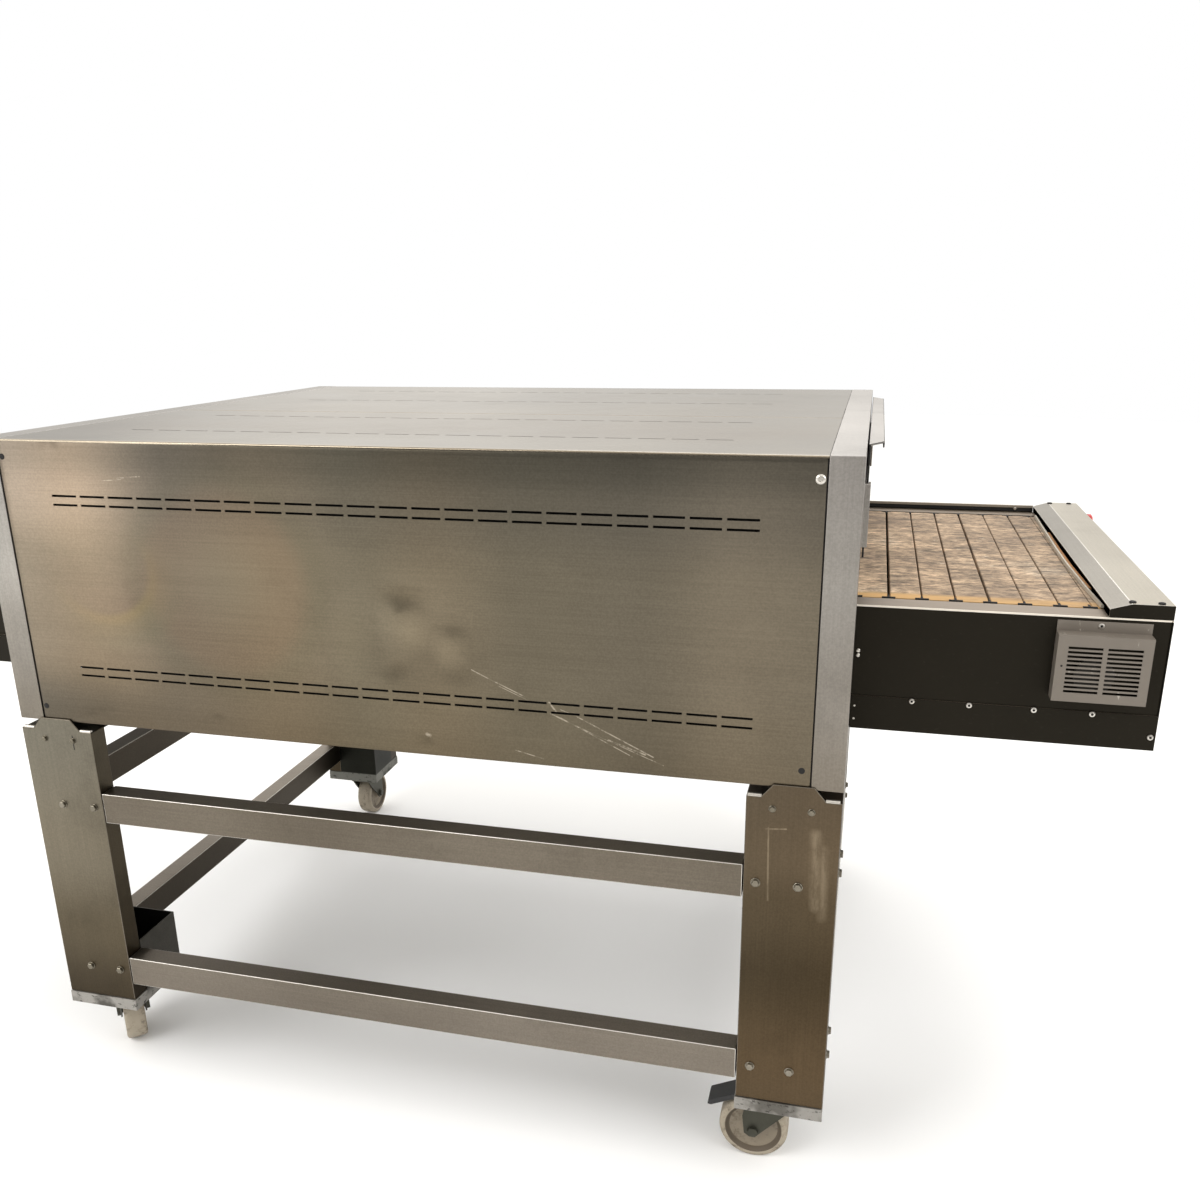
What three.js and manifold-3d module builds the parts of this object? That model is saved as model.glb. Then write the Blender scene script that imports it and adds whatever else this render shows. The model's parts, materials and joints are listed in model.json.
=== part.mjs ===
// Conveyor pizza oven on a wheeled stand. Millimetres, +Z up, floor at Z = 0.
// +X runs along the conveyor to the unload end, -Y is the service side, +Y the control side.
import * as THREE from 'three';
import { mergeVertices } from 'three/addons/utils/BufferGeometryUtils.js';
import Module from 'manifold-3d';

const wasm = await Module();
wasm.setup();

// ---- driving dimensions ----
const GAP = 0.3; // left between pieces that lie on each other
const CASING = { postX: 704, endX: 754, halfY: 638, z0: 771, z1: 1288, sheet: 2, endSheet: 3 };
const PANEL_X = CASING.postX - 0.5;
const STRIP = { y0: -90.4, y1: 106.4, seam: 0.6, hem: 20 };
const MOUTH = { halfY: 470, z0: 811, z1: 1118 };
const LEG = { width: 150, outerY: 641, z0: 176, z1: 753, sheet: 3, flange: 38 };
const RAIL = { deep: 40, wall: 2.5, upper: [570, 630], lower: [213, 273] };
const CASTOR = { x: 679, y: 563, trail: 46, wheelR: 62.5, halfWidth: 21, cheek: 26.5 };
const HEADING_DEG = { fl: 131.3, fr: 180, rl: 90, rr: 118 };
const CORNERS = { fl: [-1, -1], fr: [1, -1], rl: [-1, 1], rr: [1, 1] };
const ENDS = { left: -1, right: 1 };
const CONVEYOR = { endX: 1225, sideX: 1223, sideY: 461, sheet: 2, z0: 815, z1: 1027 };
const TURN = { x: 1120, z: 935, outerR: 92, innerR: 68 };
const SLAB = { pitch: 53.35, firstX: 804.3, groove: 3, depth: 17, halfY: 405, thick: 24 };
const CHAIN = { y: 412, width: 8, outerR: 84, innerR: 73 };
const SHAFT_R = 15;
const HOOD = { startX: 1133, lipZ: 1040.5, ridgeX: 1163.7, z1: 1050, sheet: 1.6 };
const E_STOP = { y: 410, z: 1016, capR: 19 };
const FAN = { x: -400, z: 930, grilleR: 54 };
const CONTROLS = { x0: 250, x1: 610, z0: 880, z1: 1160, depth: 40, switchX: 545, startX: 450, z: 940 };
const VENT = { x0: 1060, x1: 1197, z0: 895, z1: 1003, outY: 489, sheet: 1.5, louvres: 11 };

const LOOKS = {
  casing: { color: 0x8b8378, roughness: 0.35, metalness: 1 },
  frame: { color: 0x857b6c, roughness: 0.4, metalness: 1 },
  conveyorDark: { color: 0x2b251d, roughness: 0.35, metalness: 0.9 },
  hood: { color: 0x9a958c, roughness: 0.4, metalness: 1 },
  vent: { color: 0xa39c90, roughness: 0.55, metalness: 0.2 },
  innerSteel: { color: 0x7a766f, roughness: 0.4, metalness: 1 },
  insulation: { color: 0xb9b2a4, roughness: 0.9, metalness: 0 },
  heater: { color: 0x4a4540, roughness: 0.8, metalness: 0.4 },
  stone: { color: 0xb08a55, roughness: 0.8, metalness: 0 },
  chain: { color: 0x2a2826, roughness: 0.5, metalness: 0.8 },
  wheel: { color: 0xc9bfa4, roughness: 0.6, metalness: 0 },
  fork: { color: 0x5c5d58, roughness: 0.5, metalness: 0.8 },
  pedal: { color: 0x1c1c1c, roughness: 0.6, metalness: 0 },
  eStop: { color: 0xb0201c, roughness: 0.3, metalness: 0 },
  knob: { color: 0x1e1e20, roughness: 0.5, metalness: 0 },
  button: { color: 0x2f7d3a, roughness: 0.35, metalness: 0 },
  motor: { color: 0x51565a, roughness: 0.5, metalness: 0.3 },
  fan: { color: 0x26272a, roughness: 0.6, metalness: 0 },
};

const radians = THREE.MathUtils.degToRad;
const oven = new THREE.Group();
oven.name = 'conveyor_pizza_oven';

// ---- solids from three.js geometry, joined and cut by manifold-3d ----
function solid(geometry) {
  geometry.deleteAttribute('normal');
  geometry.deleteAttribute('uv');
  const merged = mergeVertices(geometry, 1e-4);
  const vertProperties = merged.attributes.position.array;
  const triVerts = new Uint32Array(merged.index.array);
  return new wasm.Manifold(new wasm.Mesh({ numProp: 3, vertProperties, triVerts }));
}

function join(list) {
  return list.reduce((whole, piece) => whole.add(piece));
}

function cut(body, tools) {
  return body.subtract(join(tools));
}

function box(x0, y0, z0, x1, y1, z1) {
  const geometry = new THREE.BoxGeometry(x1 - x0, y1 - y0, z1 - z0);
  return solid(geometry.translate((x0 + x1) / 2, (y0 + y1) / 2, (z0 + z1) / 2));
}

// cylinder along Y from y0 to y1, with a flat facet at its bottom
function cylY(x, z, r, y0, y1, sides = 20) {
  const geometry = new THREE.CylinderGeometry(r, r, y1 - y0, sides, 1, false, Math.PI / sides);
  return solid(geometry.translate(x, (y0 + y1) / 2, z));
}

// cylinder or cone along X; r1 is its radius at x1
function cylX(y, z, r0, x0, x1, sides = 20, r1 = r0) {
  const geometry = new THREE.CylinderGeometry(r1, r0, x1 - x0, sides).rotateZ(-Math.PI / 2);
  return solid(geometry.translate((x0 + x1) / 2, y, z));
}

function cylZ(x, y, r, z0, z1, sides = 20) {
  const geometry = new THREE.CylinderGeometry(r, r, z1 - z0, sides).rotateX(Math.PI / 2);
  return solid(geometry.translate(x, y, (z0 + z1) / 2));
}

function extruded(points, depth) {
  const shape = new THREE.Shape(points.map(([a, b]) => new THREE.Vector2(a, b)));
  return new THREE.ExtrudeGeometry(shape, { depth, bevelEnabled: false });
}

// outline in X and Y, pushed up along Z
function prismZ(points, z0, z1) {
  return solid(extruded(points, z1 - z0).translate(0, 0, z0));
}

// outline in X and Z, pushed along Y
function prismY(points, y0, y1) {
  return solid(extruded(points, y1 - y0).rotateX(Math.PI / 2).translate(0, y1, 0));
}

// radius at the corners of a polygon whose flats touch a circle of radius r
function acrossFlats(r, sides) {
  return r / Math.cos(Math.PI / sides);
}

function polar(centreX, r, deg) {
  return [centreX + r * Math.cos(radians(deg)), TURN.z + r * Math.sin(radians(deg))];
}

function arc(centreX, r, fromDeg, toDeg, steps) {
  const points = [];
  for (let i = 0; i <= steps; i++) {
    points.push(polar(centreX, r, fromDeg + (toDeg - fromDeg) * i / steps));
  }
  return points;
}

// a named mesh of the oven; mirror = [-1, 1] flips it to the left end, [1, -1] to the other side
function add(name, body, look, { mirror = [1, 1], parent = oven } = {}) {
  const { vertProperties, triVerts, numProp } = body.getMesh();
  const [mx, my] = mirror;
  const position = new Float32Array(triVerts.length * 3);
  for (let corner = 0; corner < triVerts.length; corner++) {
    const flipped = mx * my < 0 ? corner - (corner % 3) + 2 - (corner % 3) : corner;
    const from = triVerts[flipped] * numProp;
    position[corner * 3] = vertProperties[from] * mx;
    position[corner * 3 + 1] = vertProperties[from + 1] * my;
    position[corner * 3 + 2] = vertProperties[from + 2];
  }
  const geometry = new THREE.BufferGeometry();
  geometry.setAttribute('position', new THREE.BufferAttribute(position, 3));
  geometry.computeVertexNormals();
  const mesh = new THREE.Mesh(geometry, new THREE.MeshStandardMaterial(LOOKS[look]));
  mesh.name = name;
  parent.add(mesh);
}

// ---- stand: folded legs, feet and rails ----
const LEG_OUT_X = CASING.endX;
const LEG_IN_X = CASING.endX - LEG.width;
const LEG_IN_Y = LEG.outerY - LEG.width;

// a folded sheet channel, open towards the inside, with a cap and a tab screwed to the casing
function legBody() {
  const { outerY, sheet, flange, z0, z1 } = LEG;
  const section = [
    [LEG_OUT_X, outerY], [LEG_IN_X, outerY],
    [LEG_IN_X, outerY - flange], [LEG_IN_X + sheet, outerY - flange],
    [LEG_IN_X + sheet, outerY - sheet], [LEG_OUT_X - sheet, outerY - sheet],
    [LEG_OUT_X - sheet, LEG_IN_Y + sheet], [LEG_OUT_X - flange, LEG_IN_Y + sheet],
    [LEG_OUT_X - flange, LEG_IN_Y], [LEG_OUT_X, LEG_IN_Y],
  ];
  const tab = { x0: 627, x1: 729, topX0: 646, topX1: 710, topZ: 776, sheet: 2.6 };
  const tabOutline = [
    [tab.x0, z1 - 6], [tab.x1, z1 - 6], [tab.x1, z1],
    [tab.topX1, tab.topZ], [tab.topX0, tab.topZ], [tab.x0, z1],
  ];
  return join([
    prismZ(section, z0, z1),
    box(LEG_IN_X, LEG_IN_Y, z1 - sheet, LEG_OUT_X, outerY, z1),
    prismY(tabOutline, outerY - tab.sheet, outerY),
  ]);
}

// a tray under the leg, with two tall walls behind it and the castor's plate and race below
function footBody() {
  const outX = LEG_OUT_X;
  const { outerY, flange } = LEG;
  const bottom = 151;
  const lip = LEG.z0 - GAP;
  const wallTop = 290;
  const wall = 1.5;
  const x0 = LEG_IN_X - wall;
  const x1 = LEG_IN_X + wall;
  const y0 = LEG_IN_Y - wall;
  const y1 = LEG_IN_Y + wall;
  const tray = cut(box(x0, y0, bottom, outX, outerY + 2.5, lip), [
    box(x1, y1, bottom + 5, outX - 3, outerY - 1.8, lip + 5),
  ]);
  const innerWall = box(x0, y0, 160, x1, outerY - flange - GAP, wallTop);
  const backWall = box(x0, y0, 160, outX - flange - GAP, y1, wallTop);
  const castorPlate = box(CASTOR.x - 50, CASTOR.y - 43, 146.5, CASTOR.x + 50, CASTOR.y + 43, bottom + 0.5);
  const race = cylZ(CASTOR.x, CASTOR.y, 30, 140, 148);
  return join([tray, innerWall, backWall, castorPlate, race]);
}

for (const [corner, mirror] of Object.entries(CORNERS)) {
  add(`leg_${corner}`, legBody(), 'frame', { mirror });
  add(`foot_${corner}`, footBody(), 'frame', { mirror });
}

const RAIL_X = LEG_IN_X - 1.5 - GAP;
const RAIL_Y = LEG_IN_Y - 1.5 - GAP;

function railAlongX([z0, z1]) {
  const { deep, wall } = RAIL;
  const y1 = LEG.outerY;
  const y0 = y1 - deep;
  return cut(box(-RAIL_X, y0, z0, RAIL_X, y1, z1), [
    box(-RAIL_X - 1, y0 + wall, z0 + wall, RAIL_X + 1, y1 - wall, z1 - wall),
  ]);
}

function railAlongY([z0, z1]) {
  const { deep, wall } = RAIL;
  const x1 = CASING.endX;
  const x0 = x1 - deep;
  return cut(box(x0, -RAIL_Y, z0, x1, RAIL_Y, z1), [
    box(x0 + wall, -RAIL_Y - 1, z0 + wall, x1 - wall, RAIL_Y + 1, z1 - wall),
  ]);
}

add('rail_front_upper', railAlongX(RAIL.upper), 'frame', { mirror: [1, -1] });
add('rail_front_lower', railAlongX(RAIL.lower), 'frame', { mirror: [1, -1] });
add('rail_rear_upper', railAlongX(RAIL.upper), 'frame');
for (const [end, sx] of Object.entries(ENDS)) {
  add(`rail_${end}_upper`, railAlongY(RAIL.upper), 'frame', { mirror: [sx, 1] });
  add(`rail_${end}_lower`, railAlongY(RAIL.lower), 'frame', { mirror: [sx, 1] });
}

// ---- castors: local X points the way the wheel trails, the swivel axis is local Z ----
function forkBody() {
  const { trail, wheelR, cheek } = CASTOR;
  const inside = cheek - 3.5;
  const outline = [[-30, 133.5], [56, 133.5], [66, 92], [62, 55], [52, 48], [42, 48], [30, 62], [-8, 104]];
  const nutEnd = 33;
  return join([
    cylZ(0, 0, 34, 131.7, 139.7),
    box(-30, -cheek, 127.8, 56, cheek, 133.5),
    prismY(outline, inside, cheek),
    prismY(outline, -cheek, -inside),
    cylY(trail, wheelR, 6, -nutEnd, nutEnd, 16),
    cylY(trail, wheelR, 10, cheek - 0.5, nutEnd, 6),
    cylY(trail, wheelR, 10, -nutEnd, -cheek + 0.5, 6),
  ]);
}

function wheelBody() {
  const sides = 20;
  const half = CASTOR.halfWidth;
  const bore = acrossFlats(6.06, sides);
  const tread = acrossFlats(CASTOR.wheelR, sides);
  const profile = [
    [bore, -half], [15, -half], [16, -14], [49, -14], [54, -half], [tread, -17],
    [tread, 17], [54, half], [49, 14], [16, 14], [15, half], [bore, half], [bore, -half],
  ];
  const points = profile.map(([r, y]) => new THREE.Vector2(r, y));
  const lathe = new THREE.LatheGeometry(points, sides, Math.PI / sides);
  return solid(lathe.translate(CASTOR.trail, 0, CASTOR.wheelR));
}

function pedalBody() {
  const outline = [
    [57, 129.5], [66, 128], [78, 122], [124, 100], [131, 101], [129, 109], [74, 136], [62, 137],
  ];
  return prismY(outline, -21, 21);
}

for (const [corner, [sx, sy]] of Object.entries(CORNERS)) {
  const castor = new THREE.Group();
  castor.position.set(sx * CASTOR.x, sy * CASTOR.y, 0);
  castor.rotation.z = radians(HEADING_DEG[corner]);
  oven.add(castor);
  add(`fork_${corner}`, forkBody(), 'fork', { parent: castor });
  add(`wheel_${corner}`, wheelBody(), 'wheel', { parent: castor });
  if (sy < 0) {
    add(`brake_pedal_${corner}`, pedalBody(), 'pedal', { parent: castor });
  }
}

// ---- casing ----
// the pan rests on the legs' caps by a strip at each end
function basePan() {
  const { halfY, sheet, z0 } = CASING;
  const strip = { x0: 655, x1: 703, y: 600 };
  return join([
    box(-PANEL_X, -halfY + sheet + GAP, z0, PANEL_X, halfY - sheet - GAP, z0 + 2),
    box(-strip.x1, -strip.y, LEG.z1 + GAP, -strip.x0, strip.y, z0 + 1),
    box(strip.x0, -strip.y, LEG.z1 + GAP, strip.x1, strip.y, z0 + 1),
  ]);
}

add('base_pan', basePan(), 'innerSteel');

const SIDE_SLOT = { x0: -604.5, pitch: 55.5, length: 48.5, height: 3.2, count: 22 };

// vertical sheet on the +Y side
function sideSheet() {
  const { halfY, sheet, z0, z1 } = CASING;
  return box(-PANEL_X, halfY - sheet, z0, PANEL_X, halfY, z1 - sheet - GAP);
}

function sideSlotRow(z) {
  const row = [];
  for (let i = 0; i < SIDE_SLOT.count; i++) {
    const x = SIDE_SLOT.x0 + i * SIDE_SLOT.pitch;
    const half = SIDE_SLOT.height / 2;
    row.push(box(x, CASING.halfY - 5, z - half, x + SIDE_SLOT.length, CASING.halfY + 5, z + half));
  }
  return row;
}

const servicePanel = cut(sideSheet(), [1192.5, 1177, 881.5, 866].flatMap(sideSlotRow));
add('service_side_panel', servicePanel, 'casing', { mirror: [1, -1] });

// the control side's sheet, with a window for the controls and a round grille before the fan
function controlPanel() {
  const { halfY } = CASING;
  const { x, z, grilleR } = FAN;
  const shroudY = 604;
  const tools = sideSlotRow(1192.5);
  tools.push(box(CONTROLS.x0, halfY - 5, CONTROLS.z0, CONTROLS.x1, halfY + 5, CONTROLS.z1));
  const slotPitch = 11;
  for (let i = -4; i <= 4; i++) {
    const half = Math.sqrt(grilleR ** 2 - (i * slotPitch) ** 2);
    const slotZ = z + i * slotPitch;
    tools.push(box(x - half, halfY - 5, slotZ - 3, x + half, halfY + 5, slotZ + 3));
  }
  const shroud = cut(cylY(x, z, 68, shroudY, halfY - 1.5, 24), [
    cylY(x, z, 63, shroudY - 4, halfY - 1.9, 24),
  ]);
  const spider = join([
    box(x - 65, shroudY, z - 4, x + 65, shroudY + 4, z + 4),
    box(x - 4, shroudY, z - 65, x + 4, shroudY + 4, z + 65),
    cylY(x, z, 20, shroudY, shroudY + 6),
  ]);
  return join([cut(sideSheet(), tools), shroud, spider]);
}

add('control_side_panel', controlPanel(), 'casing');

const TOP_SLOT = { x0: -551.5, pitch: 55.5, length: 44, width: 4, count: 20 };

// flat top sheet from y0 to y1, with a hem turned down at hemY
function topSheet(y0, y1, hemY, rows) {
  const { sheet, z1 } = CASING;
  const half = TOP_SLOT.width / 2;
  const tools = [];
  for (const y of rows) {
    for (let i = 0; i < TOP_SLOT.count; i++) {
      const x = TOP_SLOT.x0 + i * TOP_SLOT.pitch;
      tools.push(box(x, y - half, z1 - 5, x + TOP_SLOT.length, y + half, z1 + 5));
    }
  }
  return join([
    cut(box(-PANEL_X, y0, z1 - sheet, PANEL_X, y1, z1), tools),
    box(-PANEL_X, hemY, z1 - sheet - STRIP.hem, PANEL_X, hemY + sheet, z1 - 1),
  ]);
}

function centreStrip() {
  const { sheet, z1 } = CASING;
  const hemZ = z1 - sheet - STRIP.hem;
  return join([
    box(-PANEL_X, STRIP.y0, z1 - sheet, PANEL_X, STRIP.y1, z1),
    box(-PANEL_X, STRIP.y0, hemZ, PANEL_X, STRIP.y0 + sheet, z1 - 1),
    box(-PANEL_X, STRIP.y1 - sheet, hemZ, PANEL_X, STRIP.y1, z1 - 1),
  ]);
}

const frontSeam = STRIP.y0 - STRIP.seam;
const rearSeam = STRIP.y1 + STRIP.seam;
const topFront = topSheet(-CASING.halfY, frontSeam, frontSeam - CASING.sheet, [-470, -198]);
add('top_panel_front', topFront, 'casing');
add('top_panel_rear', topSheet(rearSeam, CASING.halfY, rearSeam, [198, 470]), 'casing');
add('top_centre_strip', centreStrip(), 'casing');

// folded end frame round the tunnel mouth, with a guide for the gate on each side
function endFrame() {
  const { postX, endX, halfY, z0, z1, endSheet } = CASING;
  const shell = cut(box(postX, -halfY, z0, endX, halfY, z1), [
    box(postX - 1, -halfY + endSheet, z0 + endSheet, endX - endSheet, halfY - endSheet, z1 - endSheet),
    box(endX - 5, -MOUTH.halfY, MOUTH.z0, endX + 5, MOUTH.halfY, MOUTH.z1),
  ]);
  const guides = [-1, 1].map((s) => cut(
    box(endX - 1, s < 0 ? -478 : 452, 1125, 763, s < 0 ? -452 : 478, 1225),
    [box(755.6, s < 0 ? -462.2 : 440, 1100, 759.6, s < 0 ? -440 : 462.2, 1300)],
  ));
  return join([shell, ...guides]);
}

// plate over the mouth, with a lip folded out at its top to lift it by
function mouthGate() {
  const plate = { x0: 756, x1: 759.2, halfY: 461.7, z0: 1105, z1: 1284 };
  const lipX = 780;
  const lipY = 418;
  const corner = plate.halfY - 3.7;
  const outline = [
    [plate.x0, -plate.halfY], [plate.x1, -corner], [lipX, -lipY],
    [lipX, lipY], [plate.x1, corner], [plate.x0, plate.halfY],
  ];
  return join([
    box(plate.x0, -plate.halfY, plate.z0, plate.x1, plate.halfY, plate.z1),
    prismZ(outline, plate.z1 - 3, plate.z1),
    box(lipX - 2.5, -lipY, plate.z1 - 10, lipX, lipY, plate.z1),
  ]);
}

for (const [end, sx] of Object.entries(ENDS)) {
  add(`end_frame_${end}`, endFrame(), 'casing', { mirror: [sx, 1] });
  add(`mouth_gate_${end}`, mouthGate(), 'casing', { mirror: [sx, 1] });
}

// ---- baking chamber: insulated blocks round the tunnel, heating elements above and below the belt ----
const CHAMBER = { x: 703, y: 491, splitZ: 1104, topZ: 1190, innerY: 466 };

function upperChamber() {
  const { x, y, splitZ, topZ, innerY } = CHAMBER;
  return cut(box(-x, -y, splitZ, x, y, topZ), [box(-678, -innerY, splitZ - 4, 678, innerY, 1162)]);
}

function lowerChamber() {
  const { x, y, splitZ, innerY } = CHAMBER;
  const floorZ = CASING.z0 + 2 + GAP;
  const trench = cut(box(-x, -y, floorZ, x, y, splitZ - GAP), [
    box(-x - 7, -innerY, 795, x + 7, innerY, splitZ + 6),
  ]);
  const rests = [-520, 480].map((x0) => box(x0, -innerY - 1, 793, x0 + 40, innerY + 1, CONVEYOR.z0 - GAP));
  return join([trench, ...rests]);
}

// two long bus bars carry a row of rods across the tunnel
function heater(z0, z1, halfX, y0, y1) {
  const bars = [
    box(-halfX, y0, z0, halfX, y1, z1),
    box(-halfX, -y1, z0, halfX, -y0, z1),
  ];
  const rods = 8;
  const pitch = 172;
  for (let i = 0; i < rods; i++) {
    const x = (i - (rods - 1) / 2) * pitch;
    bars.push(box(x - 7, -y1, z0 + 1, x + 7, y1, z1 - 1));
  }
  return join(bars);
}

add('upper_chamber', upperChamber(), 'insulation');
add('lower_chamber', lowerChamber(), 'insulation');
add('heater_upper', heater(1116, 1130, 650, 453, 465.7), 'heater');
add('heater_lower', heater(960.3, 974, 672, 380, 392), 'heater');

// ---- conveyor ----
// folded side channel on the +Y side, with a boss and bore for each shaft
function conveyorSide() {
  const { sideX, sideY, sheet, z0, z1 } = CONVEYOR;
  const sheets = [
    box(-sideX, sideY - sheet, z0, sideX, sideY, z1),
    box(-sideX, sideY - 50, z1 - sheet, sideX, sideY, z1),
    box(-sideX, sideY - 25, z0, sideX, sideY, z0 + sheet),
  ];
  const bosses = [-TURN.x, TURN.x].map((x) => cylY(x, TURN.z, 32, 444, 459.5, 16));
  const bores = [-TURN.x, TURN.x].map((x) => cylY(x, TURN.z, acrossFlats(SHAFT_R + 0.05, 20), 430, 470));
  return cut(join([...sheets, ...bosses]), bores);
}

// the control side's channel carries the cross bars and a raised strip along the open belt
function controlConveyorSide() {
  const { sideY, z1 } = CONVEYOR;
  const strip = { x0: 757, x1: 1132, sheet: 4.5, z1: 1042 };
  const bars = [-880, -660, 660, 880].map((x) => box(x - 15, -458.7, 930, x + 15, 459.5, 960));
  return join([
    conveyorSide(),
    box(strip.x0, sideY - strip.sheet, z1 - 1, strip.x1, sideY, strip.z1),
    box(-strip.x1, sideY - strip.sheet, z1 - 1, -strip.x0, sideY, strip.z1),
    ...bars,
  ]);
}

add('conveyor_side_front', conveyorSide(), 'conveyorDark', { mirror: [1, -1] });
add('conveyor_side_rear', controlConveyorSide(), 'conveyorDark');

// tray under the open belt, with the end wall that holds the stop button
function underCover() {
  const { endX, sideY, z1 } = CONVEYOR;
  const { sheet } = HOOD;
  const z0 = 813;
  const trayZ = 872;
  const x0 = CASING.endX + 0.6;
  const halfY = sideY + 1.8;
  const tray = cut(box(x0, -halfY, z0, endX, halfY, trayZ), [
    box(x0 - 5, -sideY - GAP, z0 + 1.5, endX - sheet, sideY + GAP, trayZ + 8),
  ]);
  const endWall = box(endX - sheet, -halfY, z0, endX, halfY, z1);
  return cut(join([tray, endWall]), [cylX(E_STOP.y, E_STOP.z, 6.6, endX - 5, endX + 5)]);
}

// folded cover over the belt's turn, open below and towards the belt
function endHood() {
  const { endX, sideY, z1: railZ } = CONVEYOR;
  const { startX, lipZ, ridgeX, z1, sheet } = HOOD;
  const outside = [
    [startX, railZ + GAP], [endX, railZ + GAP], [endX, z1], [ridgeX, z1], [startX, lipZ],
  ];
  const inside = [
    [startX - 33, 1000], [endX - sheet, 1000], [endX - sheet, z1 - sheet],
    [ridgeX + 0.3, z1 - sheet], [startX, lipZ - 1.8], [startX - 33, lipZ - 1.8],
  ];
  return cut(prismY(outside, -sideY, sideY), [prismY(inside, -sideY + sheet, sideY - sheet)]);
}

function stopButton() {
  const { y, z, capR } = E_STOP;
  return join([
    cylX(y, z, 6.5, 1206, 1242, 16),
    cylX(y, z, capR, 1241, 1249),
    cylX(y, z, capR, 1249, 1253, 20, 14),
  ]);
}

for (const [end, sx] of Object.entries(ENDS)) {
  add(`under_cover_${end}`, underCover(), 'conveyorDark', { mirror: [sx, 1] });
  add(`end_hood_${end}`, endHood(), 'hood', { mirror: [sx, 1] });
  add(`estop_button_${end}`, stopButton(), 'eStop', { mirror: [sx, 1] });
}

// belt of stone slabs: the top run, with a groove at every slab joint
function beltTopRun() {
  const { pitch, firstX, groove, depth, halfY, thick } = SLAB;
  const z1 = CONVEYOR.z1;
  const z0 = z1 - thick;
  const end = TURN.x - GAP;
  const points = [[-end, z0], [end, z0], [end, z1]];
  for (let x = firstX + 5 * pitch; x > -end + 5; x -= pitch) {
    points.push([x + groove / 2, z1], [x + groove / 2, z1 - depth]);
    points.push([x - groove / 2, z1 - depth], [x - groove / 2, z1]);
  }
  points.push([-end, z1]);
  return prismY(points, -halfY, halfY);
}

// clockwise half turn of the belt's outside, from startDeg, with a groove at every slab joint
function beltTurn(centreX, startDeg) {
  const slabs = 6;
  const step = 180 / slabs;
  const halfGroove = 0.95;
  const points = [];
  for (let i = 0; i < slabs; i++) {
    const first = i === 0;
    const last = i === slabs - 1;
    const from = startDeg - step * i - (first ? 0 : halfGroove);
    const to = startDeg - step * (i + 1) + (last ? 0 : halfGroove);
    if (!first) points.push(polar(centreX, TURN.outerR - SLAB.depth, from));
    points.push(...arc(centreX, TURN.outerR, from, to, 4));
    if (!last) points.push(polar(centreX, TURN.outerR - SLAB.depth, to));
  }
  return points;
}

// the belt's two turns and its lower run, as one body
function beltReturnRun() {
  const points = [
    ...beltTurn(TURN.x, 90),
    ...beltTurn(-TURN.x, 270),
    ...arc(-TURN.x, TURN.innerR, 90, 270, 16),
    ...arc(TURN.x, TURN.innerR, -90, 90, 16),
  ];
  return prismY(points, -SLAB.halfY, SLAB.halfY);
}

add('belt_top_run', beltTopRun(), 'stone');
add('belt_return_run', beltReturnRun(), 'stone');

function raceTrack(r) {
  return [...arc(TURN.x, r, -90, 90, 14), ...arc(-TURN.x, r, 90, 270, 14)];
}

function chainRing() {
  const { y, width, outerR, innerR } = CHAIN;
  return cut(prismY(raceTrack(outerR), y, y + width), [prismY(raceTrack(innerR), y - 1, y + width + 1)]);
}

add('chain_front', chainRing(), 'chain', { mirror: [1, -1] });
add('chain_rear', chainRing(), 'chain');

function sprocket(centreX, y0, y1) {
  const teeth = 14;
  const corners = [[0, 60], [0.35, 71.5], [0.65, 71.5]];
  const points = [];
  for (let i = 0; i < teeth; i++) {
    for (const [share, r] of corners) {
      points.push(polar(centreX, r, (i + share) / teeth * 360));
    }
  }
  return prismY(points, y0, y1);
}

// shaft with a sprocket for each chain
function shaft(centreX, y0, y1) {
  return join([
    cylY(centreX, TURN.z, SHAFT_R, y0, y1),
    sprocket(centreX, -CHAIN.y - CHAIN.width, -CHAIN.y),
    sprocket(centreX, CHAIN.y, CHAIN.y + CHAIN.width),
  ]);
}

const driveShaft = join([shaft(TURN.x, -478, 458), cylY(TURN.x, TURN.z, 30, -478, -474)]);
add('drive_shaft', driveShaft, 'innerSteel');
add('idle_shaft', shaft(-TURN.x, -458, 458), 'innerSteel');

// gear case on the drive shaft, its motor beside it, and an arm that stops it turning
function gearMotor() {
  const motorX = 1040;
  return cut(join([
    box(motorX, -380, 893, 1162, -300, 977),
    cylY(motorX, TURN.z, 38, -381, -120),
    box(1022, -458.7, 905, 1042, -370, 925),
  ]), [cylY(TURN.x, TURN.z, acrossFlats(SHAFT_R + 0.05, 20), -400, -280)]);
}

add('gear_motor', gearMotor(), 'motor');

// louvred box over the drive shaft's end, with a flange on the conveyor side
function ventCover() {
  const { x0, x1, z0, z1, outY, sheet, louvres } = VENT;
  const backY = CONVEYOR.sideY + GAP;
  const body = cut(box(x0, -outY, z0, x1, -backY, z1), [
    box(x0 + sheet, -outY + sheet, z0 + sheet, x1 - sheet, -backY + 5, z1 - sheet),
  ]);
  const flange = box(x0, -backY - sheet, z1 - sheet, x1, -backY, 1020);
  const tools = [];
  for (let i = 0; i < louvres; i++) {
    const z = 912 + i * 7.1;
    tools.push(box(1076, -outY - 6, z - 2, 1126, -outY + 3, z + 2));
    tools.push(box(1133, -outY - 6, z - 2, 1183, -outY + 3, z + 2));
  }
  return cut(join([body, flange]), tools);
}

add('vent_cover', ventCover(), 'vent');

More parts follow.
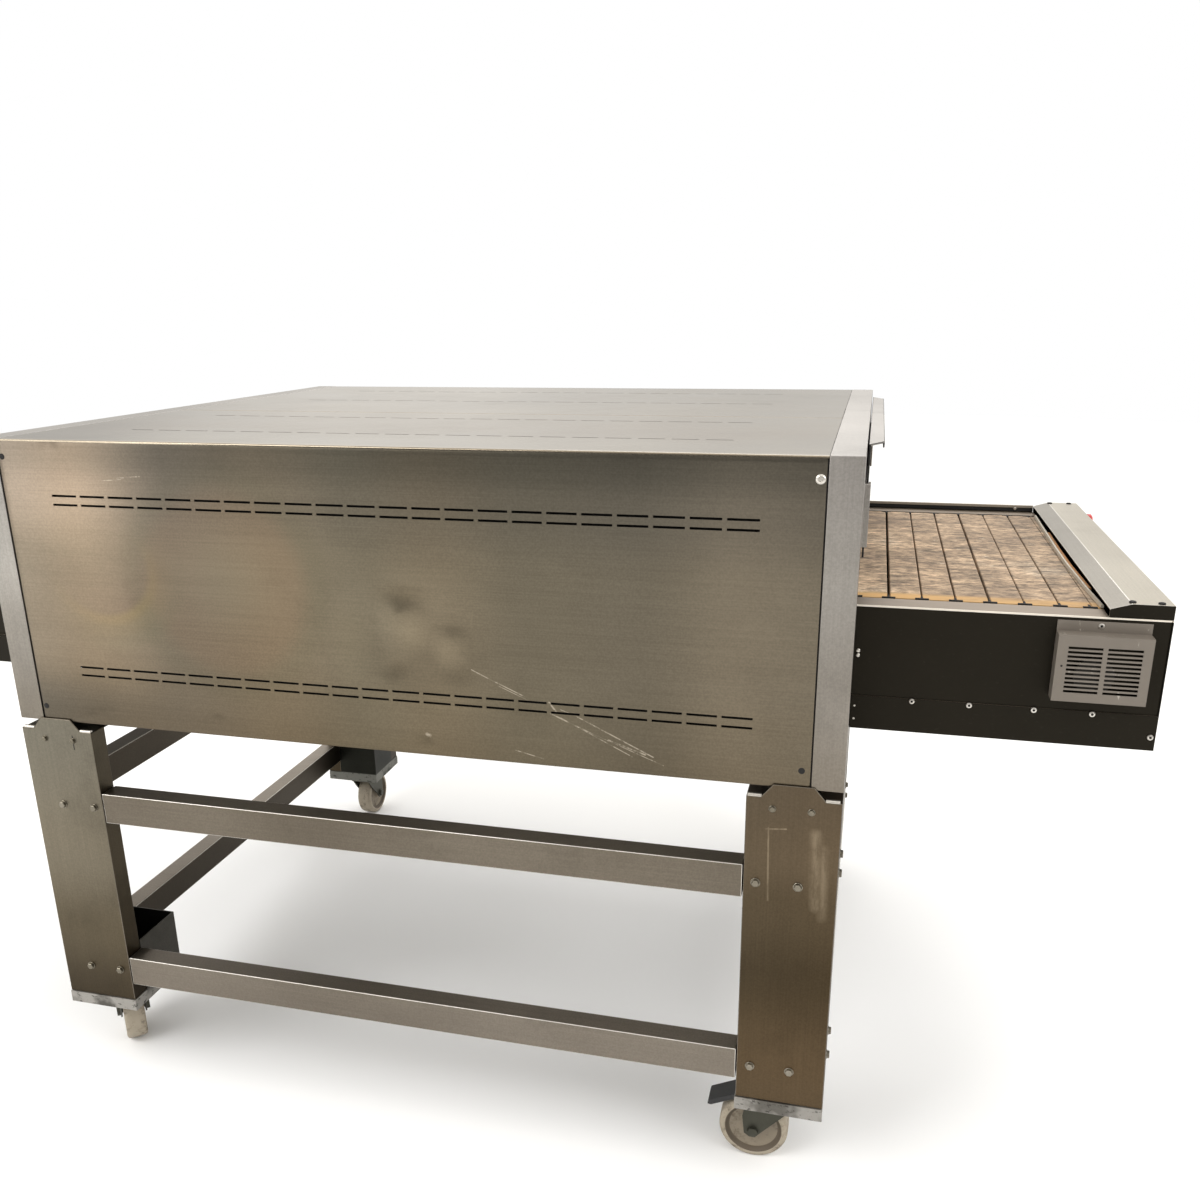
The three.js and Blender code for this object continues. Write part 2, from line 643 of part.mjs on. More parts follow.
// ---- controls, set back in a box on the control side ----
function controlBox() {
  const { x0, x1, z0, z1, depth, switchX, startX, z } = CONTROLS;
  const backY = CASING.halfY - depth;
  const side = 0.4;
  const wall = 2;
  const whole = box(x0 + side, backY, z0 + side, x1 - side, CASING.halfY, z1 - side);
  const inset = side + wall;
  return cut(whole, [
    box(x0 + inset, backY + wall, z0 + inset, x1 - inset, CASING.halfY + 5, z1 - inset),
    cylY(switchX, z, 5.3, 590, 610),
    cylY(startX, z, 5.3, 590, 610),
  ]);
}

function mainSwitchKnob() {
  const { switchX: x, z } = CONTROLS;
  return join([
    cylY(x, z, 5, 588, 602, 16),
    cylY(x, z, 23, 600.4, 612, 24),
    box(x - 5, 611, z - 20, x + 5, 628, z + 20),
  ]);
}

function startButton() {
  const { startX: x, z } = CONTROLS;
  return join([cylY(x, z, 5, 588, 606, 16), cylY(x, z, 12, 605, 613)]);
}

function fanRotor() {
  const bladeY = 621;
  const blades = 5;
  const list = [cylY(FAN.x, FAN.z, 21, 611, 632)];
  for (let i = 0; i < blades; i++) {
    const blade = new THREE.BoxGeometry(43, 2.4, 24).translate(36.5, 0, 0).rotateX(radians(35));
    blade.rotateY(radians(i * 360 / blades)).translate(FAN.x, bladeY, FAN.z);
    list.push(solid(blade));
  }
  return join(list);
}

add('control_box', controlBox(), 'innerSteel');
add('main_switch_knob', mainSwitchKnob(), 'knob');
add('start_button', startButton(), 'button');
add('fan_rotor', fanRotor(), 'fan');

export default oven;
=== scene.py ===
"""Conveyor pizza oven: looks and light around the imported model.

Lengths are in millimetres until they reach Blender.
"""

import json
import math
import random

import bmesh
import bpy
from mathutils import Matrix, Vector, noise

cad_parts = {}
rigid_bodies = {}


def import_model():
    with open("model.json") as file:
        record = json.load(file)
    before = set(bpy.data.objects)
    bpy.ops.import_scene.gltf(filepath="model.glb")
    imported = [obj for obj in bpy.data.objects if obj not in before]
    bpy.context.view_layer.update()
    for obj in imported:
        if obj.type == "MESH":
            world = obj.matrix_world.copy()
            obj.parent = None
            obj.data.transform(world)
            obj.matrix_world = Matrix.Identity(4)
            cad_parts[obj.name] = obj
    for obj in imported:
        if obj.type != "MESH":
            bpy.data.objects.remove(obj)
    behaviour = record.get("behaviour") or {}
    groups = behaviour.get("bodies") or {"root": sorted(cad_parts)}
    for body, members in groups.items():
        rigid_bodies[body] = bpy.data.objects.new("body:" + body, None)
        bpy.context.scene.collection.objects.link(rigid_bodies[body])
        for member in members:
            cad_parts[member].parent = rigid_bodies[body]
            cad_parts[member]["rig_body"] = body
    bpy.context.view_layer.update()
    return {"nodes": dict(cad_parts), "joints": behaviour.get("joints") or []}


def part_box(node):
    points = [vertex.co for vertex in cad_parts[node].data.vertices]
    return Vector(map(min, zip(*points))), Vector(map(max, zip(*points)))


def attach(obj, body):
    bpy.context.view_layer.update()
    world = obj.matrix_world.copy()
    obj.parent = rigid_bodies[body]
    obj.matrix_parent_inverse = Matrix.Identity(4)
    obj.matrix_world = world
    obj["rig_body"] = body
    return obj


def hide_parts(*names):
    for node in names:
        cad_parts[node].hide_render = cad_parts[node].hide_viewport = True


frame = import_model()
scene = bpy.context.scene
random.seed(7)

MM = 0.001
ENDS = (("left", -1), ("right", 1))


def add_object(name, data):
    made = bpy.data.objects.new(name, data)
    scene.collection.objects.link(made)
    return made


def span(node):
    """Lowest and highest corner of a CAD node, in millimetres."""
    low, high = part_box(node)
    return low / MM, high / MM


# ---- sizes taken from the frame ----
PANEL_LOW, PANEL_HIGH = span("service_side_panel")
END_LOW, END_HIGH = span("end_frame_right")
SIDE_LOW, SIDE_HIGH = span("conveyor_side_front")
BELT_LOW, BELT_HIGH = span("belt_top_run")
HOOD_HIGH = span("end_hood_right")[1]
VENT_LOW, VENT_HIGH = span("vent_cover")
LEG_LOW, LEG_HIGH = span("leg_fr")
ESTOP_LOW, ESTOP_HIGH = span("estop_button_right")
CONTROL_LOW, CONTROL_HIGH = span("control_box")
FRONT_Y = PANEL_LOW.y
TOP_Z = END_HIGH.z
RAIL_Z = SIDE_HIGH.z


# ---- camera ----
CAMERA_PLACE = (0.7597, -2.2212, 1.4918)  # metres
YAW, PITCH, ROLL = 0.2513, 0.3196, -0.0118  # radians; pitch is downwards


def add_camera():
    data = bpy.data.cameras.new("camera")
    camera = add_object("camera", data)
    turn = Matrix.Rotation(YAW, 4, "Z") @ Matrix.Rotation(math.pi / 2 - PITCH, 4, "X")
    turn = turn @ Matrix.Rotation(ROLL, 4, "Z")
    camera.matrix_world = Matrix.Translation(CAMERA_PLACE) @ turn
    data.sensor_width = 36
    data.lens = 32.576
    data.shift_x = 0.00676
    data.shift_y = 0.0549
    data.clip_end = 60
    scene.camera = camera


# ---- materials ----
WHITE = (1, 1, 1)


class Nodes:
    """Short calls for the shader nodes of one tree. place is the vector that textures read, in metres."""

    def __init__(self, tree, source):
        self.tree = tree
        self.place = self.node("ShaderNodeTexCoord").outputs[source]

    def node(self, kind, **settings):
        made = self.tree.nodes.new(kind)
        for key, value in settings.items():
            setattr(made, key, value)
        return made

    def feed(self, socket, value):
        if isinstance(value, bpy.types.NodeSocket):
            self.tree.links.new(value, socket)
        elif isinstance(value, (tuple, list)) and socket.type == "RGBA":
            socket.default_value = (*value[:3], 1)
        else:
            socket.default_value = value

    def noise(self, scale, detail=3.0, stretch=(1, 1, 1), roughness=0.5, shift=(0, 0, 0)):
        mapping = self.node("ShaderNodeMapping")
        self.feed(mapping.inputs["Vector"], self.place)
        mapping.inputs["Scale"].default_value = stretch
        mapping.inputs["Location"].default_value = shift
        made = self.node("ShaderNodeTexNoise")
        self.feed(made.inputs["Vector"], mapping.outputs["Vector"])
        made.inputs["Scale"].default_value = scale
        made.inputs["Detail"].default_value = detail
        made.inputs["Roughness"].default_value = roughness
        return made.outputs["Fac"]

    def math(self, operation, a, b=0.0, clamp=False):
        made = self.node("ShaderNodeMath", operation=operation, use_clamp=clamp)
        self.feed(made.inputs[0], a)
        self.feed(made.inputs[1], b)
        return made.outputs[0]

    def vector(self, operation, a, b=(0, 0, 0), scale=1.0):
        made = self.node("ShaderNodeVectorMath", operation=operation)
        self.feed(made.inputs[0], a)
        if operation == "SCALE":
            self.feed(made.inputs[3], scale)
        elif operation != "LENGTH":
            self.feed(made.inputs[1], b)
        return made.outputs["Value"] if operation in ("LENGTH", "DOT_PRODUCT") else made.outputs["Vector"]

    def ramp(self, factor, stops, smooth=True):
        made = self.node("ShaderNodeValToRGB")
        made.color_ramp.interpolation = "EASE" if smooth else "LINEAR"
        points = made.color_ramp.elements
        while len(points) < len(stops):
            points.new(0.5)
        for point, (position, colour) in zip(points, stops):
            point.position = position
            point.color = (*colour, 1) if isinstance(colour, tuple) else (colour, colour, colour, 1)
        self.feed(made.inputs["Fac"], factor)
        return made.outputs["Color"]

    def mix(self, factor, a, b, blend="MIX"):
        made = self.node("ShaderNodeMix", data_type="RGBA", blend_type=blend)
        self.feed(made.inputs[0], factor)
        self.feed(made.inputs[6], a)
        self.feed(made.inputs[7], b)
        return made.outputs[2]

    def times(self, a, b, share=1.0):
        """Colour a multiplied by colour b."""
        return self.mix(share, a, b, "MULTIPLY")

    def part(self, vector, name):
        split = self.node("ShaderNodeSeparateXYZ")
        self.feed(split.inputs[0], vector)
        return split.outputs[name]


class Look(Nodes):
    """One Principled material."""

    def __init__(self, name, metallic=0.0, roughness=0.5):
        self.material = bpy.data.materials.new(name)
        self.material.use_nodes = True
        super().__init__(self.material.node_tree, "Object")
        self.bsdf = self.tree.nodes["Principled BSDF"]
        self.bsdf.inputs["Metallic"].default_value = metallic
        self.bsdf.inputs["Roughness"].default_value = roughness
        self.height = None

    def axis(self, name, low, high):
        """0 to 1 along X, Y or Z, from low to high in millimetres."""
        made = self.node("ShaderNodeMapRange")
        self.feed(made.inputs["Value"], self.part(self.place, name))
        made.inputs["From Min"].default_value = low * MM
        made.inputs["From Max"].default_value = high * MM
        return made.outputs[0]

    def fade(self, name, low, high, stops):
        """A ramp along X, Y or Z, from low to high in millimetres."""
        return self.ramp(self.axis(name, low, high), stops)

    def facing(self, name):
        """How far faces look along X, Y or Z, from -1 to 1."""
        return self.part(self.node("ShaderNodeNewGeometry").outputs["Normal"], name)

    def base(self):
        """The colour made so far."""
        return self.bsdf.inputs["Base Color"].links[0].from_socket

    def bump(self, height, depth_mm, strength=1.0):
        made = self.node("ShaderNodeBump")
        made.inputs["Distance"].default_value = depth_mm * MM
        made.inputs["Strength"].default_value = strength
        self.feed(made.inputs["Height"], height)
        if self.height is not None:
            self.feed(made.inputs["Normal"], self.height)
        self.height = made.outputs["Normal"]
        self.feed(self.bsdf.inputs["Normal"], self.height)

    def colour(self, value):
        self.feed(self.bsdf.inputs["Base Color"], value)

    def rough(self, factor, low, high):
        made = self.node("ShaderNodeMapRange")
        self.feed(made.inputs["Value"], factor)
        made.inputs["To Min"].default_value = low
        made.inputs["To Max"].default_value = high
        self.feed(self.bsdf.inputs["Roughness"], made.outputs[0])


GRAIN = {"X": (0.012, 1, 1), "Y": (1, 0.012, 1), "Z": (1, 1, 0.012)}


def brushed(name, dark, light, along="X", rough=(0.3, 0.46), grime=0.2, tone=None):
    """Worn stainless sheet, faintly brushed along one axis, with smudges and a slightly uneven surface."""
    look = Look(name, metallic=1.0)
    clouds = look.noise(1.7, 3, roughness=0.5)
    streaks = look.noise(420, 2, stretch=GRAIN[along])
    bands = look.noise(34, 3, stretch=GRAIN[along], shift=(2, 5, 1))
    smudges = look.noise(6, 5, roughness=0.62, shift=(5, 2, 1))
    grain = look.noise(300, 2, roughness=0.6, shift=(1, 3, 2))
    base = look.mix(look.ramp(clouds, [(0.3, 0), (0.7, 1)]), dark, light)
    if tone is not None:
        base = look.times(base, tone(look))
    for pattern, reach, spread in ((streaks, 0.2, 0.05), (bands, 0.2, 0.02), (grain, 0.15, 0.07)):
        stops = [(0.5 - reach, 1 - spread), (0.5 + reach, 1 + spread)]
        base = look.times(base, look.ramp(pattern, stops, False))
    base = look.times(base, look.ramp(smudges, [(0.5, 1), (0.8, 1 - grime)]))
    look.colour(base)
    look.rough(smudges, *rough)
    look.bump(streaks, 0.05, 0.12)
    look.bump(look.noise(5.5, 2), 1.4, 0.4)
    return look


def line_mask(look, start, end, width):
    """1 along a thin line from start to end, X and Z in millimetres, fading to 0 within width."""
    a = Vector((start[0], 0, start[1])) * MM
    along = Vector((end[0], 0, end[1])) * MM - a
    flat = look.vector("MULTIPLY", look.place, (1, 0, 1))
    offset = look.vector("SUBTRACT", flat, tuple(a))
    reach = look.vector("DOT_PRODUCT", offset, tuple(along))
    share = look.math("DIVIDE", reach, along.length_squared, True)
    nearest = look.vector("SCALE", tuple(along), scale=share)
    distance = look.vector("LENGTH", look.vector("SUBTRACT", offset, nearest))
    return look.math("SUBTRACT", 1.0, look.math("DIVIDE", distance, width * MM), True)


def ring_tint(look, centre, radius, stops):
    """A tint by distance from a centre in the panel's plane, in shares of the radii."""
    moved = look.vector("SUBTRACT", look.place, (centre[0] * MM, 0, centre[1] * MM))
    scaled = look.vector("MULTIPLY", moved, (1 / (radius[0] * MM), 0, 1 / (radius[1] * MM)))
    return look.ramp(look.math("DIVIDE", look.vector("LENGTH", scaled), 2.0), stops)


DENT_PAINTED_LIGHT = [
    # centre, radii, shade: painted shade below 1, painted highlight above 1
    ((45, 986), (46, 44), (1.2, 1.2, 1.19)), ((113, 957), (40, 30), (1.13, 1.13, 1.12)),
    ((34, 1052), (66, 26), (0.84, 0.83, 0.81)), ((20, 926), (36, 26), (0.86, 0.85, 0.84)),
    ((132, 925), (40, 26), (0.92, 0.92, 0.91)), ((-62, 960), (50, 110), (1.07, 1.07, 1.05))]


def panel_bands_and_reflection(look):
    """Smooth upright bands, partly tone and partly painted soft reflection, a darker top edge, and the load
    end dark below and pale above.
    """
    along = look.fade("X", PANEL_LOW.x, PANEL_HIGH.x, [
        (0, (1.34, 1.32, 1.34)), (0.1, (1.32, 1.24, 1.18)), (0.22, (0.84, 0.83, 0.84)),
        (0.36, (0.98, 0.94, 0.88)), (0.47, (0.88, 0.89, 0.86)), (0.56, (0.94, 0.92, 0.87)),
        (0.68, (0.82, 0.84, 0.83)), (0.8, (0.78, 0.8, 0.81)),
        (0.92, (1.06, 1.06, 1.06)), (1, (0.98, 0.99, 1))])
    high = look.fade("Z", PANEL_LOW.z, PANEL_HIGH.z, [
        (0, (0.78, 0.74, 0.68)), (0.14, (0.88, 0.85, 0.8)), (0.32, (1, 0.98, 0.95)),
        (0.6, (1.06, 1.05, 1.03)), (0.84, (0.82, 0.83, 0.86)),
        (0.95, (0.62, 0.64, 0.67)), (1, (0.56, 0.58, 0.61))])
    corner = look.fade("Z", PANEL_LOW.z, PANEL_HIGH.z, [
        (0.06, (0.6, 0.64, 0.69)), (0.26, WHITE), (0.6, WHITE), (0.84, (1.75, 1.68, 1.66))])
    corner = look.mix(look.axis("X", -380, -560), WHITE, corner)
    return look.times(look.times(along, high), corner)


def panel_tone(look):
    """The bands, with a faint arc, a wide heat ring and the painted highlights and painted shade of the two
    creased dents.
    """
    arc = ring_tint(look, (-530, 1069), (100, 91), [
        (0, (1, 0.97, 0.98)), (0.43, (0.97, 0.93, 0.94)), (0.51, (1.12, 1.08, 0.92)),
        (0.62, (1.02, 1.03, 0.97)), (0.75, (0.97, 1, 0.98)), (0.9, WHITE)])
    near = look.math("MULTIPLY", look.axis("X", -640, -480), look.axis("Z", 1130, 1000), True)
    tint = look.times(panel_bands_and_reflection(look), arc, near)
    wide = ring_tint(look, (-290, 1050), (190, 200), [
        (0, (1, 1, 0.98)), (0.34, (1.06, 0.99, 0.95)), (0.46, (0.92, 0.94, 0.92)), (0.56, WHITE)])
    tint = look.times(tint, wide, 0.8)
    for centre, radii, shade in DENT_PAINTED_LIGHT:
        mark = ring_tint(look, centre, radii, [(0, shade), (0.5, WHITE)])
        tint = look.times(tint, mark)
    return tint


PANEL_SCRATCHES_AND_HIGHLIGHT = [
    # start, end, width
    ((149, 929), (239, 890), 1.3), ((281, 883), (292, 868), 2.2), ((283, 864), (361, 831), 1.6),
    ((328, 862), (453, 803), 1.5), ((300, 858), (420, 800), 1.1), ((345, 838), (470, 790), 1.0),
    ((221, 794), (269, 783), 1.1), ((-470, 1226), (-425, 1230), 1.5), ((-500, 1221), (-462, 1224), 1.1),
    # ((64, 808), (68, 806), 4.5) is no scratch: it is a painted highlight on the small dent at (66, 806).
    ((195, 905), (245, 884), 0.9), ((64, 808), (68, 806), 4.5), ((300, 872), (330, 862), 0.9),
    ((380, 826), (440, 806), 2.0)]


def service_panel_steel():
    dark, light = (0.155, 0.132, 0.098), (0.19, 0.163, 0.122)
    look = brushed("service_panel_steel", dark, light, "X", (0.34, 0.42), 0.1, panel_tone)
    # Pale scratches, and one painted highlight on a small dent.
    marks = 0.0
    for start, end, width in PANEL_SCRATCHES_AND_HIGHLIGHT:
        marks = look.math("MAXIMUM", marks, line_mask(look, start, end, width))
    broken = look.ramp(look.noise(75, 4, roughness=0.7), [(0.42, 0.1), (0.58, 1)])
    marks = look.math("MULTIPLY", marks, broken)
    look.colour(look.mix(look.math("MULTIPLY", marks, 0.7), look.base(), (0.5, 0.44, 0.35)))
    return look


def side_painted_shade(look, shade):
    """Painted shade on faces that look along X."""
    side = look.math("ABSOLUTE", look.facing("X"))
    return look.ramp(side, [(0.5, WHITE), (0.95, shade)])


def frame_tone(look):
    """Legs are grey and fade downwards at the load end, brown and darkest half-way down at the other end;
    faces that look along X get painted shade.
    """
    load_end = look.fade("Z", LEG_LOW.z, LEG_HIGH.z, [
        (0, (0.46, 0.44, 0.4)), (0.25, (0.8, 0.81, 0.77)), (0.55, (1.3, 1.4, 1.5)), (1, (1.5, 1.72, 2))])
    unload_end = look.fade("Z", LEG_LOW.z, LEG_HIGH.z, [
        (0, (0.82, 0.71, 0.6)), (0.12, (0.8, 0.68, 0.56)), (0.42, (0.44, 0.39, 0.32)),
        (0.64, (0.66, 0.6, 0.52)), (0.8, (0.92, 0.84, 0.77)), (1, (0.88, 0.82, 0.78))])
    high = look.mix(look.axis("X", -END_HIGH.x, END_HIGH.x), load_end, unload_end)
    return look.times(high, side_painted_shade(look, (0.5, 0.46, 0.4)))


LEG_SCUFFS = [
    # start, end, width, strength
    ((716, 696), (722, 566), 13, 0.42), ((729, 672), (733, 548), 11, 0.36),
    ((641, 700), (645, 570), 2.2, 0.5), ((637, 698), (669, 701), 2, 0.6)]


def leg_steel():
    """Leg sheet with pale scuffs on the front leg at the unload end."""
    dark, light = (0.1, 0.08, 0.054), (0.13, 0.105, 0.072)
    look = brushed("frame_steel", dark, light, "Z", (0.36, 0.48), 0.2, frame_tone)
    marks = 0.0
    for start, end, width, strength in LEG_SCUFFS:
        mark = look.math("MULTIPLY", line_mask(look, start, end, width), strength)
        marks = look.math("MAXIMUM", marks, mark)
    front = look.math("LESS_THAN", look.part(look.place, "Y"), (LEG_LOW.y + 2) * MM)
    broken = look.ramp(look.noise(40, 5, (1, 1, 0.25), 0.7), [(0.38, 0.3), (0.62, 1)])
    marks = look.math("MULTIPLY", look.math("MULTIPLY", marks, broken), front)
    look.colour(look.mix(marks, look.base(), (0.36, 0.29, 0.2)))
    return look


def rail_tone(look):
    """Rails get painted shade on the sides that look along X and a painted highlight on top, and the low
    ones are paler.
    """
    top = look.ramp(look.facing("Z"), [(0.5, WHITE), (0.95, (1.3, 1.3, 1.32))])
    low = look.fade("Z", 200, 650, [(0.2, (1.3, 1.32, 1.38)), (0.7, WHITE)])
    top = look.times(top, low)
    return look.times(top, side_painted_shade(look, (0.34, 0.32, 0.29)))


def post_tone(look):
    """The end frames are dullest at the bottom and brightest above the middle."""
    along = look.mix(look.axis("X", -END_HIGH.x, END_HIGH.x), (1.3, 1.31, 1.34), (1.31, 1.31, 1.34))
    high = look.fade("Z", END_LOW.z, END_HIGH.z, [
        (0, (0.68, 0.64, 0.58)), (0.3, (0.82, 0.8, 0.77)), (0.62, (1.12, 1.12, 1.12)), (1, (1, 1, 1.02))])
    return look.times(along, high)


def top_tone(look):
    """The top is browner away from the service side's edge."""
    return look.fade("Y", PANEL_LOW.y, -PANEL_LOW.y, [
        (0.06, WHITE), (0.2, (0.86, 0.8, 0.73)), (0.5, (0.9, 0.87, 0.82)), (1, (0.92, 0.9, 0.88))])


def hood_slope_painted_shade(look):
    """Painted shade on the sloping face, which is darker than the flat top."""
    return look.ramp(look.facing("Z"), [(0.962, (0.48, 0.475, 0.48)), (0.99, WHITE)])


def foot_steel():
    """Dull grey plate with painted shade at the rear; the lip at the bottom is scraped bright and chipped.
    """
    look = brushed("foot_steel", (0.06, 0.056, 0.048), (0.11, 0.103, 0.09), "X", (0.4, 0.6), 0.4)
    # Painted shade on the rear feet.
    rear = look.fade("Y", LEG_LOW.y, -LEG_LOW.y, [(0.4, WHITE), (0.6, (0.5, 0.52, 0.5))])
    base = look.times(look.base(), rear)
    lip = look.fade("Z", LEG_LOW.z - 4, LEG_LOW.z + 6, [(0.3, 1), (0.7, 0)])
    scraped = look.ramp(look.noise(9, 4, (1, 1, 1), 0.6), [(0.42, 0.15), (0.56, 1)])
    base = look.mix(look.math("MULTIPLY", lip, scraped), base, (0.34, 0.325, 0.3))
    chips = look.ramp(look.noise(70, 5, (1, 1, 1.8), 0.7), [(0.57, 0), (0.62, 1)], False)
    chipped = look.math("MULTIPLY", look.math("MULTIPLY", chips, lip), 0.8)
    base = look.mix(chipped, base, (0.05, 0.045, 0.04))
    look.colour(look.times(base, rear))
    return look


def dark_conveyor_steel():
    """Near-black reflective sheet with faint dust; its flat top has wear and painted sky reflection, its
    outer top edge is scraped bright with a painted highlight, and the raised strip's upper band has a
    painted highlight.
    """
    look = Look("dark_conveyor_steel", metallic=0.85)
    clouds = look.noise(4, 5, roughness=0.65)
    dust = look.ramp(look.noise(260, 3, (0.5, 1, 1)), [(0.6, 0), (0.8, 1)])
    base = look.mix(clouds, (0.0095, 0.0078, 0.0048), (0.0185, 0.0152, 0.0098))
    base = look.mix(look.math("MULTIPLY", dust, 0.04), base, (0.2, 0.18, 0.14))
    # Flat top: wear, with painted sky reflection.
    top = look.ramp(look.facing("Z"), [(0.55, 0), (0.9, 1)])
    wear_and_sheen = look.mix(look.noise(16, 5, (0.2, 1, 1), 0.7), (0.15, 0.12, 0.092), (0.29, 0.235, 0.18))
    base = look.mix(top, base, wear_and_sheen)
    # Outer top edge: scraped bright, with a painted highlight.
    near_top = look.fade("Z", RAIL_Z - 5, RAIL_Z + 5, [(0.2, 0), (0.26, 1), (0.5, 1), (0.54, 0)])
    away = look.math("ABSOLUTE", look.part(look.place, "Y"))
    outer = look.math("GREATER_THAN", away, (-SIDE_LOW.y - 1.2) * MM)
    base = look.mix(look.math("MULTIPLY", near_top, outer), base, (0.8, 0.74, 0.65))
    # Upper band of the raised strip: a painted highlight along its top.
    lip = look.fade("Z", RAIL_Z + 5, RAIL_Z + 15, [(0.42, 0), (0.5, 1)])
    lip = look.math("MULTIPLY", lip, look.math("SUBTRACT", 1.0, outer))
    look.colour(look.mix(lip, base, (0.42, 0.38, 0.32)))
    look.rough(clouds, 0.4, 0.54)
    look.bump(look.noise(7, 2), 0.9, 0.35)
    return look


def baked_stone():
    """Baked stone slabs: tan to brown, wispy along the belt, burnt in places, yellow at the edges."""
    look = Look("baked_stone", roughness=0.85)
    broad = look.noise(5, 4, (1, 1, 1), 0.55)
    wisps = look.noise(34, 9, (0.42, 1, 1), 0.72, (1.7, 0.4, 0))
    fine = look.noise(110, 8, (0.5, 1, 1), 0.75, (0.3, 4, 0))
    base = look.ramp(broad, [
        (0.3, (0.22, 0.158, 0.108)), (0.45, (0.34, 0.242, 0.158)),
        (0.58, (0.43, 0.308, 0.202)), (0.72, (0.48, 0.37, 0.262))])
    streaks = look.ramp(wisps, [(0.38, 0.42), (0.47, 0.82), (0.54, 1.03), (0.64, 1.35)], False)
    base = look.times(base, streaks)
    base = look.times(base, look.ramp(fine, [(0.38, 0.42), (0.5, 0.95), (0.62, 1.45)], False))
    pale = look.noise(60, 9, (0.5, 1, 1), 0.8, (8, 1, 0))
    base = look.mix(look.ramp(pale, [(0.6, 0), (0.66, 0.75)], False), base, (0.66, 0.56, 0.43))
    burnt = look.ramp(look.noise(4.3, 3, (1, 1, 1), 0.5, (2, 6, 0)), [(0.5, 0), (0.68, 0.55)])
    base = look.mix(burnt, base, (0.16, 0.115, 0.08))
    edge = look.fade("Y", BELT_LOW.y, BELT_LOW.y + 60, [(0.32, 1), (0.75, 0)])
    uneven = look.ramp(look.noise(30, 4, (0.3, 1, 1)), [(0.3, 0.55), (0.6, 1)])
    edge = look.math("MULTIPLY", edge, uneven)
    base = look.mix(edge, base, (0.55, 0.33, 0.13))
    along = look.fade("X", 760, 1130, [(0, 1.2), (0.5, 1.04), (1, 0.84)])
    look.colour(look.times(base, along))
    look.rough(wisps, 0.7, 0.95)
    look.bump(fine, 0.6, 0.6)
    look.bump(wisps, 1.0, 0.6)
    return look


def plain(name, base, rough, metallic=0.0, spread=0.25, scale=40, depth=0.1):
    """Painted, cast or moulded surface with slight mottling."""
    look = Look(name, metallic=metallic)
    mottle = look.noise(scale, 5, roughness=0.65)
    low = tuple(c * (1 - spread) for c in base)
    high = tuple(min(1.0, c * (1 + spread)) for c in base)
    look.colour(look.mix(mottle, low, high))
    look.rough(mottle, rough * 0.8, rough * 1.2)
    look.bump(look.noise(scale * 6, 3), depth, 0.5)
    return look


def castor_plastic(name, base_colour, least_dirt):
    """Grubby cream plastic."""
    look = plain(name, base_colour, 0.65, 0, 0.2, 30, 0.2)
    base = look.base()
    patches = look.noise(48, 6, roughness=0.75, shift=(4, 4, 4))
    dirt = look.ramp(patches, [(0.48, least_dirt), (0.68, 0.9)])
    look.colour(look.mix(dirt, base, (0.1, 0.075, 0.048)))
    return look


def vent_paint():
    look = plain("vent_paint", (0.156, 0.134, 0.11), 0.5, 0.15, 0.12, 30, 0.05)
    wear = look.ramp(look.noise(80, 5, (1, 1, 0.4), 0.7), [(0.62, 0), (0.72, 0.6)])
    base = look.base()
    look.colour(look.mix(wear, base, (0.5, 0.46, 0.4)))
    return look


